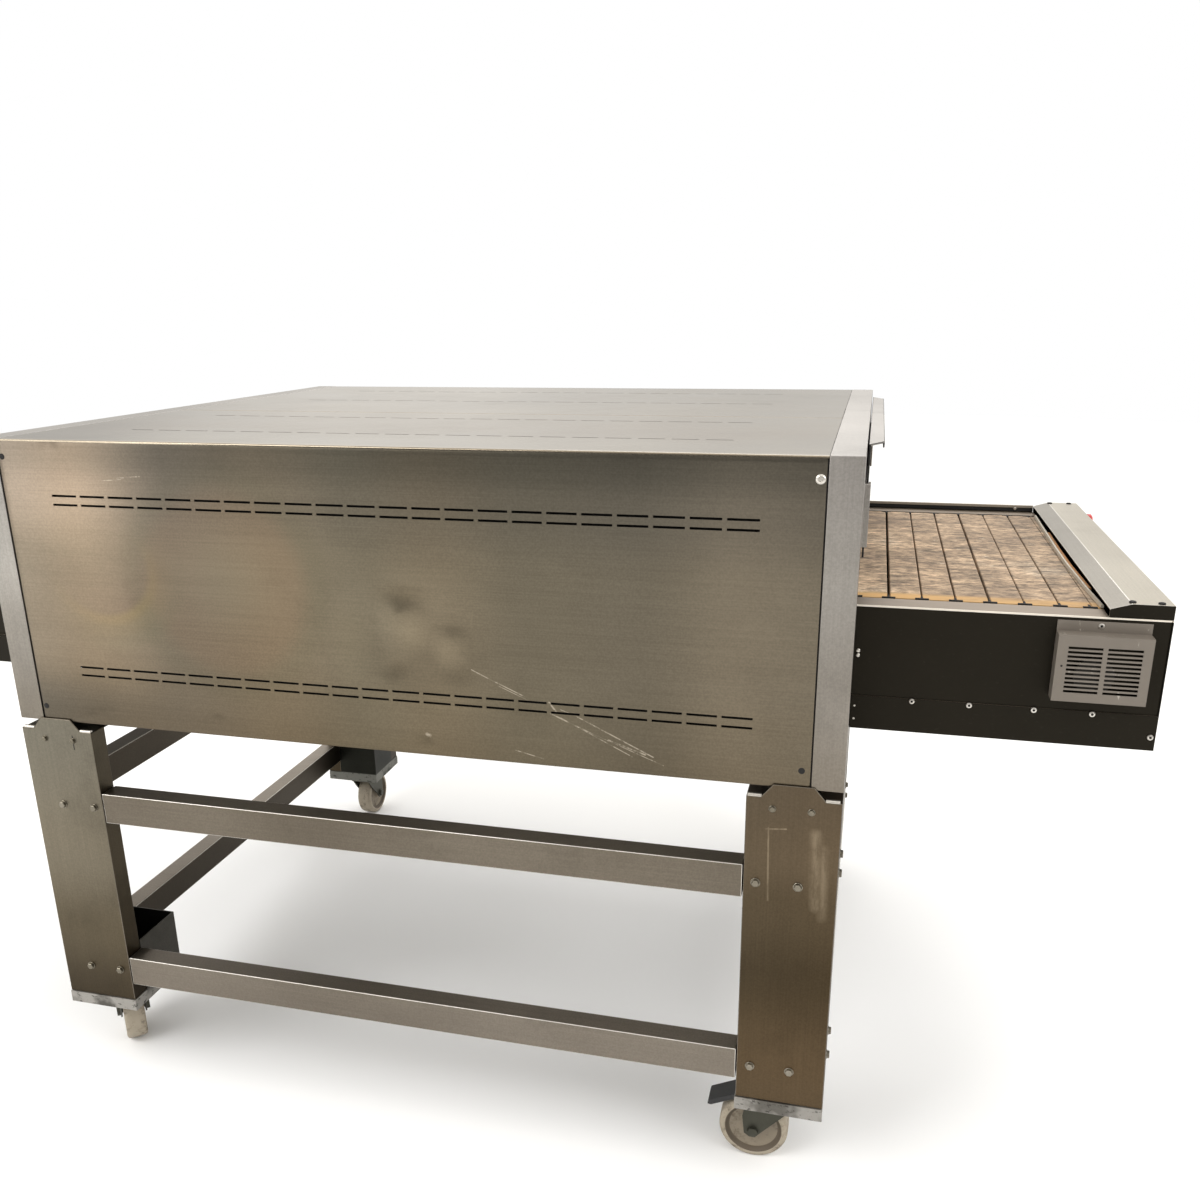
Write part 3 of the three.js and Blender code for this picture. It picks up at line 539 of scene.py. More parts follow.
LOOKS = {
    "service_panel": service_panel_steel(),
    "casing": brushed("casing_steel", (0.2, 0.175, 0.135), (0.27, 0.235, 0.185), "X", (0.34, 0.46), 0.15),
    "post": brushed(
        "post_steel", (0.2, 0.187, 0.166), (0.28, 0.262, 0.234), "Z", (0.36, 0.5), 0.2, post_tone),
    "top": brushed(
        "top_steel", (0.232, 0.196, 0.146), (0.318, 0.272, 0.207), "X", (0.12, 0.24), 0.15, top_tone),
    "frame": leg_steel(),
    "rail": brushed(
        "rail_steel", (0.118, 0.1, 0.077), (0.165, 0.142, 0.112), "X", (0.34, 0.46), 0.2, rail_tone),
    "foot": foot_steel(),
    "hood": brushed(
        "hood_steel", (0.39, 0.353, 0.29), (0.49, 0.448, 0.37), "Y", (0.24, 0.38), 0.12, hood_slope_painted_shade),
    # Rounded edges: pale from wear, with a painted highlight.
    "edge": brushed("worn_edge_and_highlight", (0.5, 0.47, 0.42), (0.66, 0.63, 0.58), "X", (0.3, 0.42), 0.2),
    "conveyor": dark_conveyor_steel(),
    "pale": plain("pale_strip", (0.5, 0.45, 0.37), 0.45, 0.3, 0.2, 60, 0.2),
    "stone": baked_stone(),
    "burnt_edge": plain("burnt_slab_edge", (0.42, 0.2, 0.07), 0.8, 0, 0.6, 60, 0.4),
    "inner": brushed("inner_steel", (0.22, 0.21, 0.19), (0.34, 0.33, 0.3), "X", (0.35, 0.5), 0.3),
    "bright": brushed("bright_steel", (0.5, 0.47, 0.42), (0.66, 0.63, 0.58), "X", (0.25, 0.4), 0.3),
    "bolt": brushed("bolt_steel", (0.13, 0.115, 0.085), (0.26, 0.235, 0.19), "X", (0.22, 0.36), 0.4),
    "insulation": plain("insulation_board", (0.12, 0.1, 0.075), 0.95, 0, 0.3, 25, 0.6),
    "heater": plain("heater_scale", (0.07, 0.06, 0.055), 0.8, 0.4, 0.4, 60, 0.3),
    "chain": plain("oiled_chain", (0.03, 0.027, 0.024), 0.45, 0.8, 0.4, 60, 0.3),
    "wheel": castor_plastic("castor_tread", (0.36, 0.31, 0.235), 0.08),
    "wheel_disc": castor_plastic("castor_disc", (0.24, 0.2, 0.145), 0.12),
    "wheel_groove": castor_plastic("castor_groove", (0.09, 0.068, 0.044), 0.35),
    "fork": plain("dull_zinc", (0.06, 0.059, 0.045), 0.5, 0.75, 0.4, 28, 0.15),
    "black": plain("black_plastic", (0.012, 0.012, 0.012), 0.5, 0, 0.3, 50, 0.1),
    # Black for blackened steel parts, and painted shadow where black pieces stand in for shade.
    "soot": plain("soot_and_shadow_black", (0.006, 0.005, 0.0045), 0.85, 0, 0.3, 50, 0.2),
    "vent": vent_paint(),
    "red": plain("button_red", (0.5, 0.022, 0.02), 0.35, 0, 0.08, 40, 0.03),
    "yellow": plain("collar_yellow", (0.75, 0.47, 0.03), 0.45, 0, 0.08, 40, 0.03),
    "green": plain("button_green", (0.03, 0.3, 0.07), 0.35, 0, 0.08, 40, 0.03),
    "motor": plain("motor_paint", (0.1, 0.115, 0.13), 0.5, 0.1, 0.15, 50, 0.2),
    "glass": plain("display_glass", (0.01, 0.014, 0.016), 0.12, 0, 0.1, 30, 0.01),
}
MATERIALS = {key: look.material for key, look in LOOKS.items()}


# ---- mesh helpers ----
LARGEST_SMOOTH = 300  # square millimetres; larger faces are shaded flat


def add_piece(name, bm, material, body="oven", replaces=(), smooth_deg=35):
    """Makes a piece from a bmesh in millimetres. material names one look, or several joined with +."""
    mesh = bpy.data.meshes.new(name)
    bmesh.ops.recalc_face_normals(bm, faces=bm.faces)
    bmesh.ops.scale(bm, vec=(MM, MM, MM), verts=bm.verts)
    bm.to_mesh(mesh)
    bm.free()
    for key in material.split("+"):
        mesh.materials.append(MATERIALS[key])
    piece = add_object(name, mesh)
    imported = mesh.attributes.get("custom_normal")
    if imported:
        mesh.attributes.remove(imported)
    mesh.set_sharp_from_angle(angle=math.radians(smooth_deg))
    for polygon in mesh.polygons:
        polygon.use_smooth = polygon.area < LARGEST_SMOOTH * MM * MM
    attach(piece, body)
    if replaces:
        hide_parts(*replaces)
    return piece


def weld(bm):
    """Joins points that lie together."""
    bmesh.ops.remove_doubles(bm, verts=bm.verts, dist=0.01)


def node_bmesh(node):
    """A CAD node's surface in millimetres, with its flat faces joined up."""
    bm = bmesh.new()
    bm.from_mesh(frame["nodes"][node].data)
    bmesh.ops.scale(bm, vec=(1 / MM,) * 3, verts=bm.verts)
    weld(bm)
    bmesh.ops.dissolve_limit(bm, angle_limit=math.radians(0.5), verts=bm.verts, edges=bm.edges)
    return bm


def bevel(bm, edges, radius, segments, index=-1):
    """Rounds edges. index is the material index of the rounding, or -1 for its neighbours' own."""
    bmesh.ops.bevel(
        bm, geom=edges, offset=radius, offset_type="OFFSET", segments=segments, profile=0.5,
        affect="EDGES", clamp_overlap=True, material=index)


def round_edges(bm, radius, segments=2, index=-1, least_deg=30):
    """Rounds every edge that is at least as sharp as least_deg."""
    least = math.radians(least_deg)
    edges = [e for e in bm.edges if len(e.link_faces) == 2 and e.calc_face_angle(0) > least]
    bevel(bm, edges, radius, segments, index)


def refined(node, material, radius=0.8, segments=2, least_deg=30):
    """A copy of a CAD node with rounded edges, standing for it. A second look is for the edges."""
    bm = node_bmesh(node)
    round_edges(bm, radius, segments, 1 if "+" in material else -1, least_deg)
    body = frame["nodes"][node]["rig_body"]
    return add_piece(node + "_shell", bm, material, body, [node], least_deg + 5)


def paint_sides(piece, index):
    """Gives the faces that look along Y another of the piece's looks."""
    for polygon in piece.data.polygons:
        if abs(polygon.normal.y) > 0.9:
            polygon.material_index = index


def add_box(bm, low, high, radius=0.0, segments=2):
    made = bmesh.ops.create_cube(bm, size=1)["verts"]
    low, high = Vector(low), Vector(high)
    size = high - low
    for v in made:
        v.co = Vector(v.co[i] * size[i] + (low[i] + high[i]) / 2 for i in range(3))
    if radius:
        edges = {e for v in made for e in v.link_edges}
        bevel(bm, list(edges), radius, segments)


def turned(bm, profile, place, normal, sides=32):
    """Turns a profile of (radius, height) points round an axis through place that points along normal."""
    turn = Vector(normal).to_track_quat("Z", "Y").to_matrix()
    rings = []
    for radius, height in profile:
        ring = []
        for i in range(sides if radius > 0 else 1):
            angle = 2 * math.pi * i / sides
            local = Vector((radius * math.cos(angle), radius * math.sin(angle), height))
            ring.append(bm.verts.new(Vector(place) + turn @ local))
        rings.append(ring)
    for a, b in zip(rings, rings[1:]):
        for i in range(sides):
            j = (i + 1) % sides
            corners = [a[i % len(a)], a[j % len(a)], b[j % len(b)], b[i % len(b)]]
            unique = list(dict.fromkeys(corners))
            if len(unique) > 2:
                bm.faces.new(unique)


def ribbon(bm, points, section):
    """A closed strip whose section, a list of (across, up) offsets along X and Z, follows points."""
    rings = [[bm.verts.new(Vector(p) + Vector((a, 0, b))) for a, b in section] for p in points]
    n = len(section)
    for a, b in zip(rings, rings[1:]):
        for i in range(n):
            bm.faces.new([a[i], a[(i + 1) % n], b[(i + 1) % n], b[i]])
    bm.faces.new(rings[0])
    bm.faces.new(rings[-1])


def subdivided(edges, step):
    """The given sorted edge positions, with even steps of at most step put between them."""
    lines = []
    for a, b in zip(edges, edges[1:]):
        count = max(1, math.ceil((b - a) / step))
        lines += [a + (b - a) * i / count for i in range(count)]
    return lines + [edges[-1]]


SLOT_PITCH = 55.5
SLOT_HALF = 1.9
SHEET = 1.6


def slot_edges(first, length, count):
    """Where each slot of a row starts and ends."""
    starts = [first + i * SLOT_PITCH for i in range(count)]
    return [x for start in starts for x in (start, start + length)]


def in_slot(u, v, edges, rows):
    """Whether a point of a sheet is in a slot of one of its rows."""
    in_row = any(abs(v - row) < SLOT_HALF for row in rows)
    return in_row and sum(edge < u for edge in edges) % 2 == 1


def sheet_with_slots(us, vs, edges, rows, place):
    """A sheet on a grid, with cells left open where the slots are. place(u, v, depth) gives each point."""
    bm = bmesh.new()
    faces = [[bm.verts.new(place(u, v, depth)) for v in vs for u in us] for depth in (0, SHEET)]
    columns = len(us)
    open_cell = {}
    for j in range(len(vs) - 1):
        for i in range(columns - 1):
            middle = ((us[i] + us[i + 1]) / 2, (vs[j] + vs[j + 1]) / 2)
            open_cell[i, j] = in_slot(*middle, edges, rows)
    for (i, j), is_open in open_cell.items():
        if is_open:
            continue
        k = j * columns + i
        ring = [k, k + 1, k + 1 + columns, k + columns]
        bm.faces.new([faces[0][n] for n in ring])
        bm.faces.new([faces[1][n] for n in reversed(ring)])
        sides = {(i - 1, j): (3, 0), (i + 1, j): (1, 2), (i, j - 1): (0, 1), (i, j + 1): (2, 3)}
        for cell, (a, b) in sides.items():
            if open_cell.get(cell, True):
                bm.faces.new([faces[0][ring[b]], faces[0][ring[a]], faces[1][ring[a]], faces[1][ring[b]]])
    loose = [v for v in bm.verts if not v.link_faces]
    bmesh.ops.delete(bm, geom=loose, context="VERTS")
    return bm


def hump(u, v, centre, radii, turn_deg=0.0):
    """A smooth dent shape, 1 at its centre and 0 from its radii outwards."""
    a = math.radians(turn_deg)
    du, dv = u - centre[0], v - centre[1]
    x = (du * math.cos(a) + dv * math.sin(a)) / radii[0]
    y = (-du * math.sin(a) + dv * math.cos(a)) / radii[1]
    r2 = x * x + y * y
    return (1 - r2) ** 2 if r2 < 1 else 0.0


# ---- casing ----
SIDE_SLOTS = slot_edges(-604.5, 48.5, 22)
SIDE_ROWS = (866, 881.5, 1177, 1192.5)
DENTS = [
    # depth, centre, radii, turn
    (5.5, (60, 985), (165, 120), 0), (-1.6, (-565, 1050), (120, 84), 0), (1.2, (-330, 1030), (180, 178), 0),
    (2.2, (-596, 1279), (22, 14), 0), (2.4, (-467, 781), (26, 12), 0), (2.6, (-328, 815), (22, 13), 0),
    (2.6, (66, 806), (24, 15), 0), (-1.5, (-590, 789), (74, 10), 16), (1, (250, 1010), (140, 120), 0),
    (0.8, (470, 1150), (120, 90), 0), (0.9, (-150, 1120), (120, 100), 0),
    (1.8, (14, 922), (34, 26), 30), (1.2, (125, 925), (40, 30), 0),
]
PINCHES = [
    # depth, point, reach to the left, right, bottom and top
    (-6.6, (22, 1019), (38, 66, 84, 30)),
    (-3.4, (112, 983), (38, 50, 62, 20)),
]


def pinch(u, v, centre, reach):
    """A creased point with its own reach on each side."""
    left, right, bottom, top = reach
    du, dv = u - centre[0], v - centre[1]
    x = du / (right if du > 0 else left)
    y = dv / (top if dv > 0 else bottom)
    r = math.hypot(x, y)
    return (1 - r) ** 1.35 if r < 1 else 0.0


def service_side_panel():
    """The dented sheet with its four rows of slots."""
    x0, x1 = PANEL_LOW.x + 2, PANEL_HIGH.x - 2
    us = subdivided(sorted([x0, x0 + 3, *SIDE_SLOTS, x1 - 3, x1]), 8)
    rows = [z + s * SLOT_HALF for z in SIDE_ROWS for s in (-1, 1)]
    vs = subdivided(sorted([PANEL_LOW.z, PANEL_LOW.z + 3, *rows, PANEL_HIGH.z - 3, PANEL_HIGH.z]), 7)

    def place(u, v, depth):
        dent = sum(d * hump(u, v, centre, radii, turn) for d, centre, radii, turn in DENTS)
        dent += sum(d * pinch(u, v, centre, reach) for d, centre, reach in PINCHES)
        soft = 1.0 * noise.noise(Vector((u / 260, v / 190, 0)))
        edge = min(u - x0, x1 - u, v - PANEL_LOW.z, PANEL_HIGH.z - v)
        hold = min(1.0, edge / 40)
        curl = 1.2 * max(0.0, 1 - edge / 2.5) ** 2
        return (u, FRONT_Y + dent + soft * hold * 0.6 + 0.4 + curl + depth, v)

    bm = sheet_with_slots(us, vs, SIDE_SLOTS, SIDE_ROWS, place)
    add_piece(
        "service_side_panel_dented", bm, "service_panel", "oven", ["service_side_panel"], 50)


def service_side_shadow_sheets():
    """Black sheets of painted shadow behind the panel's slots and beside its ends."""
    bm = bmesh.new()
    for low_z, high_z in ((858, 889), (1169, 1200)):
        add_box(bm, (-612, FRONT_Y + 11.5, low_z), (612, FRONT_Y + 12.5, high_z))
    for s in (-1, 1):
        a, b = sorted((s * (PANEL_HIGH.x - 6), s * (PANEL_HIGH.x - 0.1)))
        add_box(bm, (a, FRONT_Y + 3.2, PANEL_LOW.z + 2), (b, FRONT_Y + 4, PANEL_HIGH.z - 4))
    add_piece("service_side_shadow_sheets", bm, "soot")


TOP_SLOTS = slot_edges(-551.5, 44, 20)


def top_sheet(node, rows, outer_y, inner_y):
    """A flat top sheet with two slot rows, rolled over along its outer edge and hemmed at the inner seam."""
    low, high = span(node)
    out = 1 if outer_y > inner_y else -1
    rolled = [outer_y - out * d for d in (0, 0.5, 1.2, 2.2, 3.5)]
    vs = sorted([*rolled, inner_y, *[y + s * 2 for y in rows for s in (-1, 1)]])
    us = subdivided(sorted([low.x, low.x + 3, *TOP_SLOTS, high.x - 3, high.x]), 14)

    def place(u, v, depth):
        reach = min(abs(outer_y - v), 3.5) / 3.5
        roll = 2.0 * (1 - math.sqrt(max(0.0, 1 - (1 - reach) ** 2)))
        edge = min(abs(v - outer_y), abs(v - inner_y), u - low.x, high.x - u)
        wave = noise.noise(Vector((u / 210, v / 240, 3.1))) * min(1.0, edge / 60)
        return (u, v, TOP_Z - 0.2 - roll + 0.9 * min(0.0, wave) - depth)

    bm = sheet_with_slots(us, subdivided(vs, 18), TOP_SLOTS, rows, place)
    near_y, far_y = sorted((inner_y, inner_y + out * 2))
    add_box(bm, (low.x, near_y, TOP_Z - 22), (high.x, far_y, TOP_Z - 2.5), 0.4)
    add_piece(node + "_sheet", bm, "top", "oven", [node], 50)


def casing():
    service_side_panel()
    service_side_shadow_sheets()
    front_low, front_high = span("top_panel_front")
    rear_low, rear_high = span("top_panel_rear")
    top_sheet("top_panel_front", (-470, -198), front_low.y, front_high.y)
    top_sheet("top_panel_rear", (198, 470), rear_high.y, rear_low.y)
    refined("top_centre_strip", "top", 0.7)
    refined("control_side_panel", "casing", 0.3, 1)
    for end in ("left", "right"):
        refined(f"end_frame_{end}", "post", 1.6, 3)
        # The gates' faces that look along Y get the black look as painted shadow.
        paint_sides(refined(f"mouth_gate_{end}", "post+soot", 0.9), 1)


# ---- stand ----
def stand():
    for corner in ("fl", "fr", "rl", "rr"):
        refined(f"leg_{corner}", "frame+rail", 1.3, 3)
        refined(f"foot_{corner}", "foot", 0.8)
        refined(f"fork_{corner}", "fork", 0.8)
        castor_wheel(corner)
    for corner in ("fl", "fr"):
        refined(f"brake_pedal_{corner}", "black", 1.5, 3)
    rails = ["front_upper", "front_lower", "rear_upper"]
    rails += ["left_upper", "left_lower", "right_upper", "right_lower"]
    for rail in rails:
        refined(f"rail_{rail}", "rail+edge", 2.4, 4)


# (radius, height) from the hub to the middle of the tread; the other half mirrors it
WHEEL_HALF = [
    (6.2, -20.5), (14.5, -20.5), (15.5, -19.8), (16.5, -15.5), (20, -14.2), (44, -14.2), (48, -15.5),
    (49.5, -19.6), (51.5, -20.8), (55, -20.8), (58.5, -20), (61, -18), (62.3, -15), (62.5, -8)]
GROOVE_RADIUS = 43.8
TREAD_RADIUS = 51.6


def castor_wheel(corner):
    """A cream tread with a rolled rim and a dished disc on each side, turned about the axle."""
    axle = next(j for j in frame["joints"] if j["name"] == f"castor_{corner}_roll")
    centre = Vector(axle["pos_m"]) / MM
    axis = Vector(axle["axis"])
    profile = WHEEL_HALF + [(r, -h) for r, h in reversed(WHEEL_HALF)] + WHEEL_HALF[:1]
    bm = bmesh.new()
    turned(bm, profile, centre, axis, 96)
    weld(bm)
    for face in bm.faces:
        middle = face.calc_center_median() - centre
        radius = (middle - middle.dot(axis) * axis).length
        face.material_index = 0 if radius > TREAD_RADIUS else (2 if radius > GROOVE_RADIUS else 1)
    body = frame["nodes"][f"wheel_{corner}"]["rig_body"]
    wheel = add_piece(f"wheel_{corner}_tread", bm, "wheel", body, [f"wheel_{corner}"], 60)
    wheel.data.materials.append(MATERIALS["wheel_disc"])
    wheel.data.materials.append(MATERIALS["wheel_groove"])


# ---- conveyor ----
SLAB_PITCH = 53.35
LAST_JOINT = 1071.05


def slab_joints():
    """Where the slabs meet, at even steps back from the last joint at the unload end."""
    count = math.ceil((LAST_JOINT - BELT_LOW.x - 5) / SLAB_PITCH)
    return [LAST_JOINT - i * SLAB_PITCH for i in reversed(range(count))]


def joint_gap(index):
    """Gap between two slabs; they sit unevenly on the chain."""
    return (2.0, 4.2, 2.2, 2.6, 3.6, 1.6, 2.4)[index % 7]


def slab_section(n, y, left, right, top):
    """The outline of slab n at one Y, with wavy sides and a chipped top."""
    wear = [0.5 * noise.noise(Vector((n * 3.7, y / 17, k * 5.0))) for k in range(2)]
    bites = [noise.noise(Vector((n * 1.9, y / 9, 20 + k * 7.0))) for k in range(2)]
    chip = [max(0.0, bite - 0.25) * 3.2 for bite in bites]
    bottom = BELT_LOW.z
    x0, x1 = left + max(0.0, wear[0]), right - max(0.0, wear[1])
    return [
        (x0, bottom), (x1, bottom), (x1, top - 1.3 - chip[1]), (x1 - 0.4, top - 0.5 - chip[1] * 0.5),
        (x1 - 1.3 - chip[1], top), (x0 + 1.3 + chip[0], top), (x0 + 0.4, top - 0.5 - chip[0] * 0.5),
        (x0, top - 1.3 - chip[0])]


def belt_slabs():
    """One rounded slab per pitch, each lying a little higher or lower than the next."""
    bm = bmesh.new()
    joints = slab_joints()
    edges = [BELT_LOW.x, *joints, BELT_HIGH.x]
    steps = 36
    for n, (a, b) in enumerate(zip(edges, edges[1:])):
        left = a + (joint_gap(n) / 2 if n else 0)
        right = b - (joint_gap(n + 1) / 2 if n < len(joints) else 0)
        lift = random.uniform(-0.5, 0.0)
        rings = []
        for i in range(steps + 1):
            y = BELT_LOW.y + (BELT_HIGH.y - BELT_LOW.y) * i / steps
            section = slab_section(n, y, left, right, BELT_HIGH.z + lift)
            rings.append([bm.verts.new((px, y, pz)) for px, pz in section])
        for first, second in zip(rings, rings[1:]):
            for i in range(8):
                bm.faces.new([first[i], first[(i + 1) % 8], second[(i + 1) % 8], second[i]])
        bm.faces.new(rings[0])
        bm.faces.new(rings[-1])
    add_piece("belt_slabs", bm, "stone", "oven", ["belt_top_run"], 40)


def slab_tabs():
    """Black steel ends that hold the slabs to the chains: a flat foot and a short tongue in each joint."""
    bm = bmesh.new()
    z0 = BELT_HIGH.z - 2
    z1 = BELT_HIGH.z + 0.9
    ends = [BELT_LOW.x + 4, BELT_HIGH.x - 4]
    for x in slab_joints() + ends:
        if abs(x) < END_LOW.x:
            continue
        for s in (-1, 1):
            outer = s * (BELT_HIGH.y + 1.2)
            inner = s * (BELT_HIGH.y - 4.5)
            tongue = s * (BELT_HIGH.y - 17)
            add_box(bm, (x - 11, min(outer, inner), z0), (x + 11, max(outer, inner), z1), 0.5)
            add_box(bm, (x - 1.6, min(inner, tongue), z0), (x + 1.6, max(inner, tongue), z1 - 0.2), 0.3)
    add_piece("slab_tabs", bm, "soot")


STRIP_FROM, STRIP_TO = 758, 1131


def strip_shadow():
    """A black line of painted shadow along the raised strip on the control side."""
    bm = bmesh.new()
    for a, b in ((-STRIP_TO, -STRIP_FROM), (STRIP_FROM, STRIP_TO)):
        add_box(bm, (a, -SIDE_LOW.y - 5.2, RAIL_Z + 2), (b, -SIDE_LOW.y - 4.7, RAIL_Z + 8.5))
    add_piece("strip_shadow", bm, "soot")


# the strip's bow: distance from the middle of the oven at each Y
BOW = [(389, 1130), (202, 1127), (40, 1124.5), (-105, 1124), (-283, 1128), (-406, 1133)]


def bowed(s, bow, offset, z):
    """Points along the bow, moved outwards by offset."""
    points = []
    for (y0, x0), (y1, x1) in zip(bow, bow[1:]):
        points += [(s * (x0 + (x1 - x0) * i / 5 + offset), y0 + (y1 - y0) * i / 5, z) for i in range(5)]
    points.append((s * (bow[-1][1] + offset), bow[-1][0], z))
    return points


def belt_end(s):
    """The bowed strip that keeps crumbs out of the hood, and the slab that is turning down behind it."""
    side = "right" if s > 0 else "left"
    bm = bmesh.new()
    ribbon(bm, bowed(s, BOW, 0, RAIL_Z + 0.6), [(-3.0, 0), (2.2, 0), (1.6, 4.6), (-2.0, 5.2)])
    add_piece(f"wiper_strip_{side}", bm, "pale", smooth_deg=30)
    bm = bmesh.new()
    section = [(-1.5, -14), (3.5, -14), (3.5, 0.6), (2.6, 1.4), (-0.6, 1.4), (-1.5, 0.6)]
    ribbon(bm, bowed(s, BOW[1:5], 5.5 * s, RAIL_Z + 1.5), section)
    add_piece(f"turning_slab_{side}", bm, "burnt_edge")


def conveyor():
    refined("conveyor_side_front", "conveyor", 0.7)
    refined("conveyor_side_rear", "conveyor", 0.7)
    refined("vent_cover", "vent+edge", 0.6)
    belt_slabs()
    slab_tabs()
    strip_shadow()
    for end, s in ENDS:
        refined(f"under_cover_{end}", "conveyor", 0.6)
        paint_sides(refined(f"end_hood_{end}", "hood+edge+conveyor", 1.1, 2, 10), 2)
        refined(f"estop_button_{end}", "red", 1.2, 3)
        belt_end(s)


# ---- fasteners ----
WASHER = [(0, 0), (8, 0), (8, 1.1), (7.5, 1.5), (0, 1.5)]
PAN_HEAD = [(0, 0), (5.0, 0), (5.0, 0.9), (4.3, 2.2), (2.7, 3.0), (2.2, 3.0), (2.0, 1.6), (0, 1.6)]
SOCKET = [(0, 1.5), (1.9, 1.5), (1.9, 2.0), (0, 2.0)]
SMALL_HEAD = [(0, 0), (3.4, 0), (3.4, 0.8), (2.6, 1.7), (0, 2.0)]


def hex_bolt(bm, place, normal, size=1.0):
    turned(bm, [(r * size, h * size) for r, h in WASHER], place, normal, 28)
    head = [(0, 1.5), (6.6, 1.5), (6.6, 4.6), (5.6, 5.4), (0, 5.4)]
    turned(bm, [(r * size, h * size) for r, h in head], place, normal, 6)


# one leg's bolts, by distance from the middle of the oven and height
FACE_BOLTS = [(624, 600), (692, 600), (627, 243), (694, 243)]
TAB_BOLTS = [(646, 734), (707, 734)]
SIDE_BOLTS = [(511, 600), (579, 600), (511, 243), (579, 243)]
TAB_LOW_X, TAB_HIGH_X = 628, 728


def leg_bolts():
    """Hex bolts that hold legs, rails and tabs, on the faces seen from each side."""
    bm = bmesh.new()
    for sx in (-1, 1):
        for sy in (-1, 1):
            for x, z in FACE_BOLTS:
                hex_bolt(bm, (sx * x, sy * -LEG_LOW.y, z), (0, sy, 0))
            for x, z in TAB_BOLTS:
                hex_bolt(bm, (sx * x, sy * -LEG_LOW.y, z), (0, sy, 0), 0.75)
            for y, z in SIDE_BOLTS:
                hex_bolt(bm, (sx * LEG_HIGH.x, sy * y, z), (sx, 0, 0))
    add_piece("leg_bolts", bm, "bolt", smooth_deg=25)


def leg_top_edges():
    """Rolled edges on top of the legs, to either side of each tab, pale from wear and a painted highlight.
    """
    bm = bmesh.new()
    profile = [(0, 0), (3.6, 0), (3.6, 1), (0, 1)]
    for sx in (-1, 1):
        for sy in (-1, 1):
            for x0, x1 in ((LEG_LOW.x + 2, TAB_LOW_X), (TAB_HIGH_X, LEG_HIGH.x - 4)):
                place = (min(sx * x0, sx * x1), sy * (-LEG_LOW.y - 4.2), LEG_HIGH.z - 22.4)
                turned(bm, [(r, h * (x1 - x0)) for r, h in profile], place, (1, 0, 0), 16)
    add_piece("leg_top_edges", bm, "edge")


def cut_and_hole_shade():
    """Black pieces as painted shade in a cut beside the load end's tab and in a drilled hole in the vent
    cover.
    """
    bm = bmesh.new()
    add_box(bm, (-646.5, LEG_LOW.y - 0.3, 716), (-645, LEG_LOW.y + 1, 745))
    turned(bm, [(0, -0.5), (1.7, -0.5), (1.7, 0.15), (0, 0.15)], (1069, VENT_LOW.y, 953), (0, -1, 0), 16)
    add_piece("cut_and_hole_shadows", bm, "soot")


# distance from the middle of the oven and height of the conveyor's screws
SEAM_SCREWS = [(852, 868), (942, 868), (1041, 868), (1128, 868), (1217, 836)]
POST_SCREWS = [(761, 949), (761, 941), (761, 853), (761, 830)]


def screws():
    """Bright pan-head screws on the conveyor sides and panels."""
    bm = bmesh.new()
    side_y = -SIDE_LOW.y
    places = [(sx * x, s * (side_y + 1.8), z) for s in (-1, 1) for sx in (-1, 1) for x, z in SEAM_SCREWS]
    places += [(1124, VENT_HIGH.y, 1013)]
    for place in places:
        turned(bm, PAN_HEAD, place, (0, math.copysign(1, place[1]), 0), 24)
    for s in (-1, 1):
        for sx in (-1, 1):
            for x, z in POST_SCREWS:
                turned(bm, SMALL_HEAD, (sx * x, s * side_y, z), (0, s, 0), 20)
    turned(bm, [(r * 1.5, h) for r, h in PAN_HEAD], (693, FRONT_Y + 0.6, 1254.5), (0, -1, 0), 28)
    turned(bm, SMALL_HEAD, (1093, side_y - 4.7, RAIL_Z + 7), (0, -1, 0), 20)
    add_piece("pan_head_screws", bm, "bright")
    # Black discs in the screw heads' sockets: painted shade.
    bm = bmesh.new()
    for place in places:
        turned(bm, SOCKET, place, (0, math.copysign(1, place[1]), 0), 12)
    add_piece("screw_sockets", bm, "soot")


def dark_screws():
    """Blackened screws on the hoods, and black discs as painted shade in the holes at the panel's other
    corners.
    """
    bm = bmesh.new()
    head = [(0, 0), (5.4, 0), (5.4, 1.4), (4.6, 2.2), (0, 2.6)]
    for s in (-1, 1):
        for x, y in ((1166, -449), (1207, -451), (1166, 449), (1207, 451)):
            turned(bm, head, (s * x, y, HOOD_HIGH.z - 0.2), (0, 0, 1), 24)
        for y in (100, -50, -430, 430):
            turned(bm, head, (s * HOOD_HIGH.x, y, RAIL_Z + 11), (s, 0, 0), 24)
    add_piece("hood_screws", bm, "soot")
    bm = bmesh.new()
    plug = [(0, 0), (5.2, 0), (5.2, 0.5), (4.4, 0.9), (0, 0.5)]
    for x, z in ((688, 802), (-693, 799.5), (-693, 1257.5)):
        turned(bm, plug, (x, FRONT_Y + 0.6, z), (0, -1, 0), 24)
    for x, z in ((688, 802), (-693, 802), (-693, 1255), (693, 1255)):
        turned(bm, plug, (x, -FRONT_Y - 0.2, z), (0, 1, 0), 24)
    add_piece("panel_holes", bm, "soot")


def fasteners():
    leg_bolts()
    leg_top_edges()
    cut_and_hole_shade()
    screws()
    dark_screws()


# ---- controls ----
def stop_collars():
    """Yellow rings behind the red stop buttons."""
    y = (ESTOP_LOW.y + ESTOP_HIGH.y) / 2
    z = (ESTOP_LOW.z + ESTOP_HIGH.z) / 2
    profile = [(7.2, 0), (24, 0), (24, 3), (22.5, 4.6), (14, 5.4), (7.2, 5.4), (7.2, 0)]
    for end, s in ENDS:
        bm = bmesh.new()
        turned(bm, profile, (s * (SIDE_HIGH.x + 2.1), y, z), (s, 0, 0), 48)
        weld(bm)
        add_piece(f"stop_collar_{end}", bm, "yellow")


DISPLAYS_X = (290, 450)


